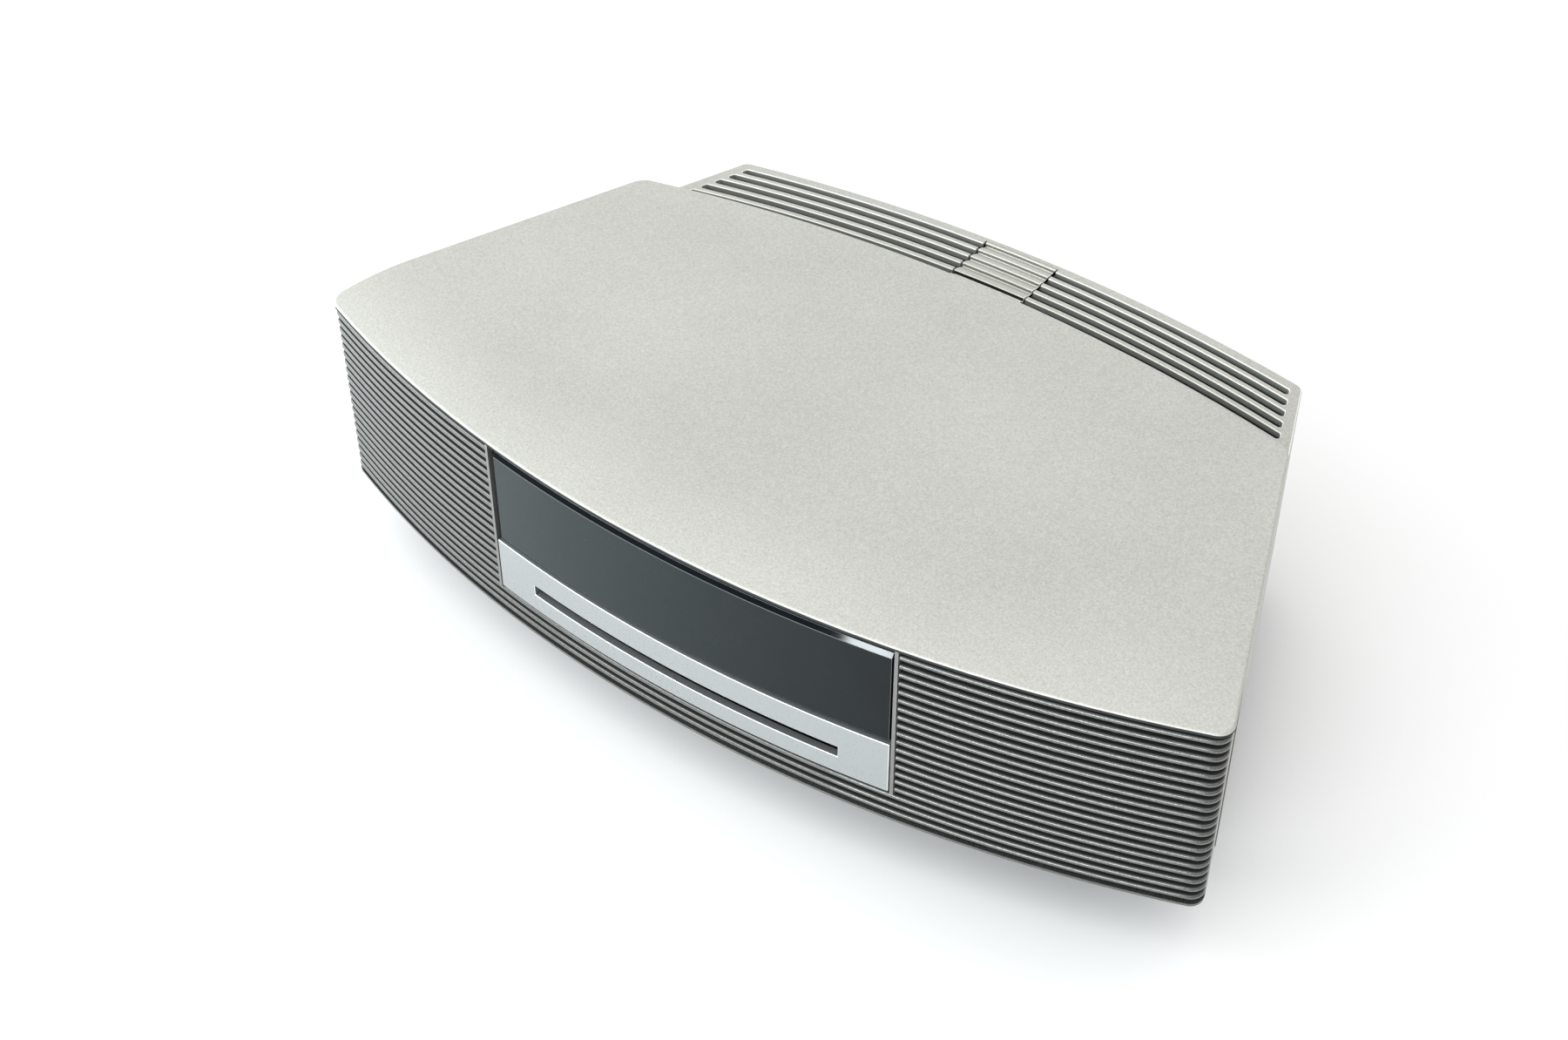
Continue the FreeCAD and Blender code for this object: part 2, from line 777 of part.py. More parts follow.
def rib():
    """One rounded rib, swept round the front at height zero."""
    path = front_path(rib_inset, 0)
    start = path.Vertexes[0].Point
    inward = Vector(side_normal.x, -side_normal.y, 0)
    half = rib_height / 2
    points = [start + inward * half, start + inward * rib_depth]
    low, high = UP * -half, UP * half
    nose = Part.Arc(points[0] + high, start, points[0] + low).toShape()
    back = Part.makePolygon([points[0] + low, points[1] + low, points[1] + high, points[0] + high])
    return path.makePipe(Part.Face(Part.Wire([nose, back])))


def front_zone(z):
    return box((-FAR, FAR), (-FAR, grille_side_end_y), z)


def web_strips():
    """Upright strips that tie the ribs together behind the speaker zones."""
    z = (grille_bottom_z, grille_top_z)
    strips = [box((opening_half_width, opening_half_width + jamb_width), (-FAR, 0), z)]
    x = web_zone_start
    while x < corner_x - web_width:
        strips.append(box((x, x + web_width), (-FAR, corner_y), z))
        x += web_spacing
    end_post = (grille_side_end_y - end_post_length, grille_side_end_y)
    strips.append(box((corner_x - web_width, FAR), end_post, z))
    return strips


def make_front_grille():
    body = rib()
    ribs = [body.translated(UP * (first_rib_z + k * rib_pitch)) for k in range(rib_count)]
    z = (grille_bottom_z, grille_top_z)
    wall = shell(web_inset, web_back_inset, z)
    webs = []
    for strip in web_strips():
        for piece in (strip, strip.mirror(Vector(0, 0, 0), RIGHT)):
            webs.append(wall.common(piece))
    foot = shell(rib_inset, grille_foot_inset, (z[0], z[0] + rim_height)).common(front_zone(z))
    sill = wall.common(box((-opening_half_width, opening_half_width), (-FAR, 0), (z[0], opening_bottom_z)))
    grille = joined(ribs + webs + [foot, sill])
    opening = box((-opening_half_width, opening_half_width), (-FAR, 0), (opening_bottom_z, FAR))
    return grille.cut(opening).removeSplitter()


def make_grille_screen(side):
    z = (grille_bottom_z + rim_height + cloth_margin, grille_top_z - cloth_margin)
    cloth = shell(cloth_inset, cloth_inset + cloth_thickness, z)
    inner = opening_half_width + bezel_flange + cloth_margin
    return cloth.common(box((side * inner, side * FAR), (-FAR, grille_side_end_y - cloth_margin), z))


def make_trim_bar(side):
    z = (opening_bottom_z, grille_top_z)
    bar = shell(trim_inset, web_back_inset, z)
    return bar.common(box((side * trim_inner_x, side * opening_half_width), (-FAR, 0), z))


def make_display_bezel():
    """Dark carrier behind the lens and the slot panel."""
    z = (panel_bottom_z, bezel_top_z)
    carrier = front_band(opening_half_width + bezel_flange - seat_gap, carrier_inset, carrier_back_inset, z)
    rim = front_band(bezel_half_width, bezel_front_inset, carrier_inset, (panel_top_z + seat_gap, z[1]))
    posts = []
    for x in (-display_post_x, display_post_x):
        for height in display_post_z:
            arc = math.sqrt((front_arc_radius - carrier_inset - OVER) ** 2 - x ** 2)
            start = Vector(x, front_centre_y - arc, height)
            posts.append(rod(display_post_radius, start, BACK, display_board_y - start.y))
    bezel = joined([carrier, rim] + posts)
    pocket = front_band(lens_half_width + seat_gap, 0, lens_inset + lens_thickness + seat_gap,
                        (lens_bottom_z - seat_gap, lens_top_z + seat_gap))
    window = box((-display_window_half_width, display_window_half_width), (-FAR, 0),
                 (display_window_bottom_z, display_window_top_z))
    reach = slot_half_width + carrier_slot_gap
    slot = box((-reach, reach), (-FAR, 0), (slot_bottom_z - carrier_slot_gap, slot_top_z + carrier_slot_gap))
    near = box((-FAR, FAR), (-FAR, display_board_y - display_tube_depth), (0, FAR))
    return bezel.cut([pocket, window.common(near), slot.common(near)])


def make_display_lens():
    return front_band(lens_half_width, lens_inset, lens_inset + lens_thickness, (lens_bottom_z, lens_top_z))


def make_slot_fascia():
    z = (panel_bottom_z, panel_top_z)
    panel = front_band(panel_half_width, panel_inset, panel_inset + panel_thickness, z)
    front_edges = [edge for edge in panel.Edges if on_inset(edge, panel_inset)]
    panel = panel.makeChamfer(panel_bevel, front_edges)
    panel = panel.cut(box((-slot_half_width, slot_half_width), (-FAR, 0), (slot_bottom_z, slot_top_z)))
    slot_edges = [edge for edge in panel.Edges if on_inset(edge, panel_inset) and near_slot(edge)]
    return panel.makeChamfer(slot_bevel, slot_edges)


def on_inset(edge, inset):
    """Whether an edge lies in the curved front at one inset."""
    ends = [vertex.Point for vertex in edge.Vertexes]
    reach = [(Vector(point.x, point.y, 0) - front_centre).Length for point in ends]
    return all(abs(radius - front_arc_radius + inset) < TINY for radius in reach)


def near_slot(edge):
    bounds = edge.BoundBox
    inside = abs(bounds.XMin) <= slot_half_width + TINY and abs(bounds.XMax) <= slot_half_width + TINY
    return inside and bounds.ZMin > slot_bottom_z - TINY and bounds.ZMax < slot_top_z + TINY


# Base

def tray_inset(height):
    """Inset of the tray's sloping outer wall at one height."""
    rim = grille_bottom_z - tray_rim_height
    share = (rim - height) / (rim - tray_floor_z)
    return tray_top_inset + share * (tray_floor_inset - tray_top_inset)


def make_base_tray():
    rim = grille_bottom_z - tray_rim_height
    outer = Part.makeLoft([outline(tray_top_inset, rim), outline(tray_floor_inset, tray_floor_z)], True, True)
    flange = slab(tray_top_inset, (rim, grille_bottom_z))
    inner_low = tray_inset(tray_floor_top_z) + tray_wall
    inner_high = tray_inset(rim) + tray_wall
    hollow = Part.makeLoft([outline(inner_high, rim), outline(inner_low, tray_floor_top_z)], True, True)
    mouth = slab(inner_high, (rim, grille_bottom_z + OVER))
    tray = joined([outer, flange]).cut(hollow).cut(mouth)
    bosses = [rod(damper_radius, Vector(x, y, tray_floor_z + OVER), UP,
                  chassis_floor_z - damper_height - tray_floor_z - OVER)
              for x in (-damper_x, damper_x) for y in damper_y]
    for x, y in board_screw_places():
        start = Vector(x, y, tray_floor_z + OVER)
        bosses.append(rod(standoff_radius, start, UP, board_z - start.z))
    hull = joined([outer, slab(tray_top_inset, (rim, deck_z))])
    tray = joined([tray] + [boss.common(hull) for boss in bosses])
    holes = [rod(screw_radius + screw_clearance, Vector(x, y, 0), UP, board_z) for x, y in post_places()]
    return tray.cut(holes)


def board_screw_places():
    places = []
    for half, front, rear in ((main_board_half_width, main_board_front_y, main_board_rear_y),
                              (power_board_half_width, power_board_front_y, power_board_rear_y)):
        for x in (-half + standoff_edge, half - standoff_edge):
            places += [(x, front + standoff_edge), (x, rear - standoff_edge)]
    return places


def make_rubber_feet():
    places = [(side * x, y) for _, side in SIDES for x, y in (front_foot, rear_foot)]
    return Part.makeCompound([rod(foot_radius, Vector(x, y, 0), UP, foot_height) for x, y in places])


def make_case_screws():
    screws = []
    for x, y in post_places():
        head = rod(screw_head_radius, Vector(x, y, tray_floor_z - screw_head_height), UP, screw_head_height)
        shank = rod(screw_radius, Vector(x, y, tray_floor_z), UP, screw_length)
        screws.append(joined([head, shank]))
    return Part.makeCompound(screws)


# Rear connectors

def socket_places():
    """Place and opening radius of each round socket in the rear plate."""
    body = phono_sleeve_radius
    return [(headphone_x, socket_flange_radius), (line_x - phono_spacing / 2, body),
            (line_x + phono_spacing / 2, body), (link_x, link_flange_radius),
            (aerial_x - phono_spacing / 2, body), (aerial_x + phono_spacing / 2, body)]


def around_row(x, half_width, y, half_height):
    """Block about the socket row at one x."""
    return box((x - half_width, x + half_width), y, (socket_row_z - half_height, socket_row_z + half_height))


def make_rear_panel():
    wide = recess_half_width + recess_wall
    plate = box((-wide, wide), (rear_plate_y - rear_plate_thickness, rear_plate_y),
                (recess_bottom_z - recess_wall, recess_top_z + recess_wall))
    tools = [rod(radius + socket_clearance, Vector(x, rear_plate_y - FAR, socket_row_z), BACK, 2 * FAR)
             for x, radius in socket_places()]
    wide = inlet_half_width + inlet_wall + socket_clearance
    high = inlet_half_height + inlet_wall + socket_clearance
    tools.append(around_row(inlet_x, wide, (-FAR, FAR), high))
    return plate.cut(tools)


def socket(x, radius, reach, bore, depth):
    """Round sleeve through the rear plate with its body behind and a blind bore."""
    inner = rear_plate_y - rear_plate_thickness
    mouth = Vector(x, rear_plate_y + reach, socket_row_z)
    sleeve = rod(radius, Vector(x, inner, socket_row_z), BACK, rear_plate_thickness + reach)
    half = max(socket_body_half, radius + socket_clearance + OVER)
    body = around_row(x, half, (inner - socket_body_depth, inner), half)
    return joined([sleeve, body]).cut(rod(bore, mouth - BACK * depth, BACK, depth + OVER))


def make_headphone_jack():
    return socket(headphone_x, socket_flange_radius, socket_flange_length,
                  small_bore_radius, small_bore_depth)


def socket_pair(x, bore):
    """Two sleeves side by side on one body."""
    half = phono_spacing / 2
    sleeves = [socket(x + side * half, phono_sleeve_radius, phono_sleeve_length, bore, small_bore_depth)
               for _, side in SIDES]
    rear = rear_plate_y - rear_plate_thickness
    bridge = around_row(x, half, (rear - socket_body_depth, rear + phono_sleeve_length - small_bore_depth),
                        socket_body_half)
    return joined(sleeves + [bridge])


def make_line_jacks():
    return socket_pair(line_x, phono_bore_radius)


def make_aerial_jacks():
    return socket_pair(aerial_x, small_bore_radius)


def make_link_port():
    return socket(link_x, link_flange_radius, socket_flange_length, link_bore_radius, link_bore_depth)


def make_power_inlet():
    wide, high = inlet_half_width + inlet_wall, inlet_half_height + inlet_wall
    inner = rear_plate_y - inlet_depth
    plate = rear_plate_y - rear_plate_thickness
    body = around_row(inlet_x, wide, (inner - inlet_floor, rear_plate_y + socket_flange_length), high)
    flange = around_row(inlet_x, wide + inlet_wall, (plate - inlet_wall, plate), high + inlet_wall)
    cavity = around_row(inlet_x, inlet_half_width, (inner, FAR), inlet_half_height)
    start = inner - inlet_floor - OVER
    pins = [rod(inlet_pin_radius, Vector(inlet_x + side * inlet_pin_offset, start, socket_row_z), BACK, FAR)
            for _, side in SIDES]
    return joined([body, flange]).cut([cavity] + pins)


def make_inlet_pins():
    start = rear_plate_y - inlet_depth - inlet_floor
    length = inlet_floor + inlet_pin_length
    feet = [Vector(inlet_x + side * inlet_pin_offset, start, socket_row_z) for _, side in SIDES]
    return Part.makeCompound([rod(inlet_pin_radius, foot, BACK, length) for foot in feet])


# Loudspeakers

def speaker_place(shape, side):
    """Turns a piece made about the origin, facing -Y, to the front arc's normal and moves it there."""
    reach = front_arc_radius - speaker_inset
    x, y = reach * math.sin(speaker_angle), front_centre_y - reach * math.cos(speaker_angle)
    centre = Vector(side * x, y, speaker_z)
    turned = shape.copy()
    turned.Placement = Placement(centre, Rotation(UP, side * math.degrees(speaker_angle)))
    return turned


def turned_profile(points):
    """Solid of revolution about the Y axis from (radius, depth) points."""
    corners = [Vector(radius, depth, 0) for radius, depth in points]
    return Part.Face(Part.makePolygon(corners + corners[:1])).revolve(Vector(0, 0, 0), BACK, 360)


def make_speaker_frame(side):
    half = speaker_frame / 2
    plate = box((-half, half), (0, speaker_frame_thickness), (-half, half))
    upright = [edge for edge in plate.Edges if edge.BoundBox.YLength > speaker_frame_thickness / 2]
    plate = plate.makeFillet(speaker_frame_corner, upright)
    plate = plate.cut(rod(basket_hole_radius, Vector(0, -OVER, 0), BACK, FAR))
    front, rear = speaker_frame_thickness, speaker_frame_thickness + basket_depth
    basket = turned_profile([(basket_hole_radius, front), (basket_hole_radius + basket_wall, front),
                             (basket_rear_radius, rear), (0, rear), (0, rear - basket_wall),
                             (basket_rear_radius - basket_wall, rear - basket_wall)])
    return speaker_place(joined([plate, basket]), side)


def make_speaker_magnet(side):
    start = speaker_frame_thickness + basket_depth
    return speaker_place(rod(magnet_radius, Vector(0, start, 0), BACK, magnet_height), side)


def make_speaker_cone(side):
    cone = turned_profile([(0, cone_depth - cap_rise), (cone_neck_radius, cone_depth), (cone_outer_radius, 0),
                           (cone_outer_radius, cone_wall), (cone_neck_radius, cone_depth + cone_wall),
                           (0, cone_depth - cap_rise + cone_wall)])
    return speaker_place(cone, side)


def make_surround(side):
    inner = cone_outer_radius + surround_gap
    middle = inner + surround_roll
    outer = middle + surround_roll
    return speaker_place(turned_profile([
        (inner, 0), (inner, -surround_thickness), (middle, -surround_roll), (outer, -surround_thickness),
        (surround_outer_radius, -surround_thickness), (surround_outer_radius, 0), (outer, 0),
        (middle, -surround_roll + surround_thickness)]), side)


def duct_outline(z):
    """Plan of the right-hand duct: baffle in front, tapered side, flat rear and inner wall."""
    reach = front_arc_radius - speaker_inset - speaker_frame_thickness
    way = Vector(math.sin(speaker_angle), -math.cos(speaker_angle), 0)
    across = Vector(math.cos(speaker_angle), math.sin(speaker_angle), 0)
    centre = front_centre + way * reach

    def on_side(y):
        return Vector((side_reach - duct_side_inset - y * side_normal.y) / side_normal.x, y, 0)

    corners = [Vector(duct_inner_x, duct_corner_y, 0), centre - across * baffle_half_width,
               centre + across * baffle_half_width, on_side(duct_shoulder_y), on_side(duct_rear_y),
               Vector(duct_inner_x, duct_rear_y, 0)]
    return Part.makePolygon([corner + UP * z for corner in corners + corners[:1]])


def make_waveguide(side):
    face = Part.Face(duct_outline(duct_bottom_z))
    height = duct_top_z - duct_bottom_z
    outer = face.extrude(UP * height)
    inner = Part.Face(face.makeOffset2D(-duct_wall).Wires[0])
    duct = outer.cut(inner.translated(UP * duct_wall).extrude(UP * (height - 2 * duct_wall)))
    hole = speaker_place(rod(basket_hole_radius + basket_wall + baffle_hole_gap, Vector(0, 0, 0), BACK,
                             speaker_frame_thickness + duct_wall + OVER), 1)
    port = rod(duct_port_radius, Vector(duct_port_x, duct_rear_y - duct_wall - OVER, speaker_z), BACK,
               duct_wall + 2 * OVER)
    leg_height = duct_bottom_z + duct_wall / 2 - tray_floor_top_z
    legs = [rod(duct_leg_radius, Vector(x, y, tray_floor_top_z), UP, leg_height) for x, y in duct_legs]
    duct = joined([duct.cut([hole, port])] + legs)
    return duct if side > 0 else duct.mirror(Vector(0, 0, 0), RIGHT)


# Boards and power

def make_main_board():
    return box((-main_board_half_width, main_board_half_width), (main_board_front_y, main_board_rear_y),
               (board_z, board_top_z))


def make_power_board():
    return box((-power_board_half_width, power_board_half_width), (power_board_front_y, power_board_rear_y),
               (board_z, board_top_z))


def make_transformer():
    core = box(transformer_x, transformer_y, (board_top_z, board_top_z + transformer_core_height))
    inner = [edge + sign * transformer_coil_margin for edge, sign in zip(transformer_x, (1, -1))]
    coil = box(inner, transformer_y, (board_top_z, board_top_z + transformer_coil_height))
    return joined([core, coil])


def make_heat_sink():
    base = box(heat_sink_x, heat_sink_y, (board_top_z, board_top_z + heat_sink_base))
    pitch = (heat_sink_x[1] - heat_sink_x[0] - heat_sink_fin) / (heat_sink_fins - 1)
    fins = [box((heat_sink_x[0] + k * pitch, heat_sink_x[0] + k * pitch + heat_sink_fin), heat_sink_y,
                (board_top_z, board_top_z + heat_sink_height)) for k in range(heat_sink_fins)]
    return joined([base] + fins)


def make_tuner_shield():
    z = (board_top_z, board_top_z + tuner_height)
    inner_x = (tuner_x[0] + tuner_wall, tuner_x[1] - tuner_wall)
    inner_y = (tuner_y[0] + tuner_wall, tuner_y[1] - tuner_wall)
    return box(tuner_x, tuner_y, z).cut(box(inner_x, inner_y, (z[0] - OVER, z[1] - tuner_wall)))


def make_display_board():
    return box((-display_board_half_width, display_board_half_width),
               (display_board_y, display_board_y + board_thickness), display_board_z)


def make_display_tube():
    z = (display_window_bottom_z + display_tube_margin, display_window_top_z - display_tube_margin)
    return box((-display_tube_half_width, display_tube_half_width),
               (display_board_y - display_tube_depth, display_board_y), z)


def make_remote_receiver():
    half = receiver_size / 2
    return box((receiver_x - half, receiver_x + half), (display_board_y - half, display_board_y),
               (receiver_z - receiver_size, receiver_z + receiver_size))


# Disc mechanism: fixed pieces

def make_mech_chassis():
    x = (-chassis_half_width, chassis_half_width)
    y = (chassis_front_y, chassis_rear_y)
    body = box(x, y, (chassis_floor_z, top_plate_z))
    inner = (-chassis_half_width + chassis_wall, chassis_half_width - chassis_wall)
    hollow = box(inner, (chassis_front_y - OVER, chassis_rear_y - chassis_wall),
                 (chassis_floor_z + chassis_wall, top_plate_z + OVER))
    posts = [rod(guide_post_radius, Vector(x, y, chassis_floor_z), UP,
                 lift_plate_top_z + lift_travel + OVER - chassis_floor_z)
             for x in (-guide_post_x, guide_post_x) for y in guide_post_y]
    bore = rod(bracket_pin_radius + running_gap, pivot(-FAR), RIGHT, 2 * FAR)
    return joined([body.cut(hollow)] + posts).cut(bore)


def make_dampers():
    z = chassis_floor_z - damper_height
    return Part.makeCompound([rod(damper_radius, Vector(x, y, z), UP, damper_height)
                              for x in (-damper_x, damper_x) for y in damper_y])


def make_top_plate():
    plate = box((-chassis_half_width, chassis_half_width), (top_plate_front_y, chassis_rear_y),
                (top_plate_z, top_plate_z + top_plate_thickness))
    return plate.cut(rod(puck_neck_radius + running_gap, Vector(0, disc_centre_y, 0), UP, FAR))


# Disc mechanism: clamp puck and turntable

def at_spindle(z):
    return Vector(0, disc_centre_y, z)


def make_clamp_puck():
    """Captive puck: flange under the plate, neck through it and cap resting above it."""
    bottom = disc_top_z + shake_gap
    cap = top_plate_z + top_plate_thickness + running_gap
    flange = rod(puck_flange_radius, at_spindle(bottom), UP, puck_flange_height)
    neck = rod(puck_neck_radius, at_spindle(bottom), UP, cap + puck_cap_height / 2 - bottom)
    lid = rod(puck_cap_radius, at_spindle(cap), UP, puck_cap_height)
    start = at_spindle(bottom - OVER)
    hollow_top = disc_bottom_z + hub_height + puck_hollow_gap
    hollow = rod(hub_radius + shake_gap, start, UP, hollow_top - start.z)
    return joined([flange, neck, lid]).cut(hollow)


def make_spindle_motor():
    body = rod(spindle_motor_radius, at_spindle(spindle_motor_z), UP, spindle_motor_height)
    sleeve_top = turntable_top_z - turntable_thickness - shake_gap
    sleeve = rod(spindle_sleeve_radius, at_spindle(lift_plate_z - OVER), UP, sleeve_top - lift_plate_z + OVER)
    bore = rod(spindle_radius + running_gap, at_spindle(spindle_motor_z + OVER), UP, FAR)
    return joined([body, sleeve]).cut(bore)


def make_turntable():
    seat = at_spindle(turntable_top_z - turntable_thickness)
    platter = rod(turntable_radius, seat, UP, turntable_thickness)
    hub = rod(hub_radius, at_spindle(turntable_top_z), UP, hub_height)
    rim = [edge for edge in hub.Edges if edge.BoundBox.ZMin > turntable_top_z + hub_height / 2]
    hub = hub.makeChamfer(hub_height / 3, [edge for edge in rim if edge.BoundBox.XLength > hub_radius])
    start = spindle_motor_z + OVER + shake_gap
    shaft = rod(spindle_radius, at_spindle(start), UP, turntable_top_z - start)
    return joined([platter, hub, shaft])


# Disc mechanism: lifting plate, guide rods and laser sled

def rod_blocks():
    z = (lift_plate_top_z, lift_plate_top_z + rod_block_height)
    return [box((-rod_block_half_width, rod_block_half_width), (y, y + rod_block_length), z)
            for y in (rod_block_front_y, rod_block_rear_y)]


def make_lift_plate():
    plate = box((-lift_plate_half_width, lift_plate_half_width), (lift_plate_front_y, lift_plate_rear_y),
                (lift_plate_z, lift_plate_top_z))
    plate = joined([plate] + rod_blocks())
    tools = [rod(guide_post_radius + running_gap, Vector(x, y, 0), UP, FAR)
             for x in (-guide_post_x, guide_post_x) for y in guide_post_y]
    tools.append(rod(spindle_sleeve_radius + running_gap, at_spindle(0), UP, FAR))
    screw_start = Vector(lead_screw_x, rod_block_front_y - OVER, rod_z)
    tools.append(rod(lead_screw_radius + running_gap, screw_start, BACK, FAR))
    return plate.cut(tools)


def make_guide_rods():
    start = rod_block_front_y + rod_block_length
    return Part.makeCompound([rod(rod_radius, Vector(x, start, rod_z), BACK, rod_block_rear_y - start)
                              for x in (-rod_x, rod_x)])


def make_lead_screw():
    start = rod_block_front_y + running_gap
    end = rod_block_rear_y + rod_block_length
    return rod(lead_screw_radius, Vector(lead_screw_x, start, rod_z), BACK, end - start)


def make_sled_motor():
    start = Vector(lead_screw_x, rod_block_front_y, rod_z)
    return rod(sled_motor_radius, start, BACK * -1, sled_motor_length)


def make_laser_sled():
    y = (sled_front_y, sled_front_y + sled_length)
    body = box((-sled_half_width, sled_half_width), y, (sled_bottom_z, sled_top_z))
    nut = lead_screw_radius + running_gap + nut_wall
    arm_y = (y[0] + sled_length / 4, y[1] - sled_length / 4)
    arm = box((0, lead_screw_x + nut), arm_y, (rod_z - nut, rod_z + nut))
    bores = [rod(rod_radius + running_gap, Vector(x, -FAR, rod_z), BACK, 2 * FAR) for x in (-rod_x, rod_x)]
    bores.append(rod(lead_screw_radius + running_gap, Vector(lead_screw_x, -FAR, rod_z), BACK, 2 * FAR))
    pocket = rod(lens_radius + shake_gap, Vector(0, lens_y, lens_bottom() - lens_travel - shake_gap), UP, FAR)
    return joined([body, arm]).cut(bores + [pocket])


def lens_bottom():
    return sled_top_z + lens_rise - lens_height


def make_objective_lens():
    return rod(lens_radius, Vector(0, lens_y, lens_bottom()), UP, lens_height)


# Disc mechanism: load roller, its bracket and gears

def involute(angle):
    return math.tan(angle) - angle


def gear(teeth, centre, tooth_angle, bore):
    """Involute spur gear on the X axis with one tooth centred at an angle from +Y towards +Z."""
    pitch_radius = gear_module * teeth / 2
    base_radius = pitch_radius * math.cos(math.radians(pressure_angle_deg))
    tip = pitch_radius + addendum_factor * gear_module
    root = pitch_radius - dedendum_factor * gear_module
    half_pitch = math.pi / (2 * teeth) - gear_backlash / (4 * pitch_radius)
    flank_start = max(root, base_radius)

    def half_angle(radius):
        at_pitch = involute(math.radians(pressure_angle_deg))
        return half_pitch + at_pitch - involute(math.acos(base_radius / radius))

    flank = [(root, half_angle(flank_start))] if root < base_radius else []
    for k in range(flank_points):
        radius = flank_start + (tip - flank_start) * k / (flank_points - 1)
        flank.append((radius, half_angle(radius)))
    corners = []
    for tooth in range(teeth):
        middle = tooth_angle + 2 * math.pi * tooth / teeth
        sides = [(radius, middle - angle) for radius, angle in flank]
        sides += [(radius, middle + angle) for radius, angle in reversed(flank)]
        for radius, angle in sides:
            corners.append(centre + Vector(0, radius * math.cos(angle), radius * math.sin(angle)))
    blank = Part.Face(Part.makePolygon(corners + corners[:1])).extrude(RIGHT * gear_width)
    return blank.cut(rod(bore, centre - RIGHT * OVER, RIGHT, gear_width + 2 * OVER))


def pivot(x):
    return Vector(x, bracket_pivot_y, bracket_pivot_z)


def roller_axis(x):
    return Vector(x, roller_y, roller_z)


def pinion_axis(x):
    return Vector(x, pinion_y, bracket_pivot_z)


def gap_facing(teeth, other_teeth, way, offset):
    """Tooth angle of a gear whose gap meets a tooth of the other gear, seen along the way to it."""
    return way + math.pi - offset * other_teeth / teeth + math.pi / teeth


def roller_way():
    return math.atan2(roller_z - bracket_pivot_z, roller_y - bracket_pivot_y)


def make_idler_gear():
    return gear(idler_teeth, pivot(gear_x), 0, bracket_pin_radius + running_gap)


def make_motor_pinion():
    wheel = gear(pinion_teeth, pinion_axis(gear_x), gap_facing(pinion_teeth, idler_teeth, 0, 0),
                 load_motor_shaft_radius)
    start = bracket_arm_x - load_motor_length / 2
    shaft = rod(load_motor_shaft_radius, pinion_axis(start), RIGHT, gear_x + gear_width - start)
    return joined([wheel, shaft])


def make_roller_gear():
    pitch_angle = 2 * math.pi / idler_teeth
    offset = round(roller_way() / pitch_angle) * pitch_angle - roller_way()
    tooth_angle = gap_facing(roller_teeth, idler_teeth, roller_way(), offset)
    return gear(roller_teeth, roller_axis(gear_x), tooth_angle, roller_shaft_radius)


def make_roller_shaft():
    start = -bracket_arm_x - bracket_arm_thickness - gear_gap
    return rod(roller_shaft_radius, roller_axis(start), RIGHT, gear_x + gear_width - start)


def make_load_roller():
    tube = rod(roller_radius, roller_axis(-roller_half_length), RIGHT, 2 * roller_half_length)
    return tube.cut(rod(roller_shaft_radius, roller_axis(-FAR), RIGHT, 2 * FAR))


def stadium(start, end, half_height, thickness):
    """Flat link in the YZ plane with round ends."""
    way = (end - start).normalize()
    across = Vector(0, -way.z, way.y) * half_height
    outline_wire = Part.Wire([
        Part.LineSegment(start + across, end + across).toShape(),
        Part.Arc(end + across, end + way * half_height, end - across).toShape(),
        Part.LineSegment(end - across, start - across).toShape(),
        Part.Arc(start - across, start - way * half_height, start + across).toShape(),
    ])
    return Part.Face(outline_wire).extrude(RIGHT * thickness)


def make_roller_bracket():
    pieces = []
    for _, side in SIDES:
        x = bracket_arm_x if side > 0 else -bracket_arm_x - bracket_arm_thickness
        pieces.append(stadium(pivot(x), roller_axis(x), bracket_arm_half_height, bracket_arm_thickness))
        pieces.append(box((x, x + bracket_arm_thickness), bracket_bar_y, (bracket_bar_z[0], bracket_pivot_z)))
        reach = chassis_half_width - bracket_arm_x
        pieces.append(rod(bracket_pin_radius, pivot(side * bracket_arm_x), RIGHT * side, reach))
    pieces.append(stadium(pivot(bracket_arm_x), pinion_axis(bracket_arm_x), bracket_arm_half_height,
                          bracket_arm_thickness))
    wide = bracket_arm_x + bracket_arm_thickness
    pieces.append(box((-wide, wide), bracket_bar_y, bracket_bar_z))
    bores = [rod(roller_shaft_radius + running_gap, roller_axis(-FAR), RIGHT, 2 * FAR),
             rod(load_motor_shaft_radius + shake_gap, pinion_axis(0), RIGHT, FAR)]
    return joined(pieces).cut(bores)


def make_load_motor():
    start = bracket_arm_x - load_motor_length
    body = rod(load_motor_radius, pinion_axis(start), RIGHT, load_motor_length)
    bore_start = pinion_axis(bracket_arm_x - load_motor_length / 2 - shake_gap)
    return body.cut(rod(load_motor_shaft_radius + running_gap, bore_start, RIGHT, FAR))


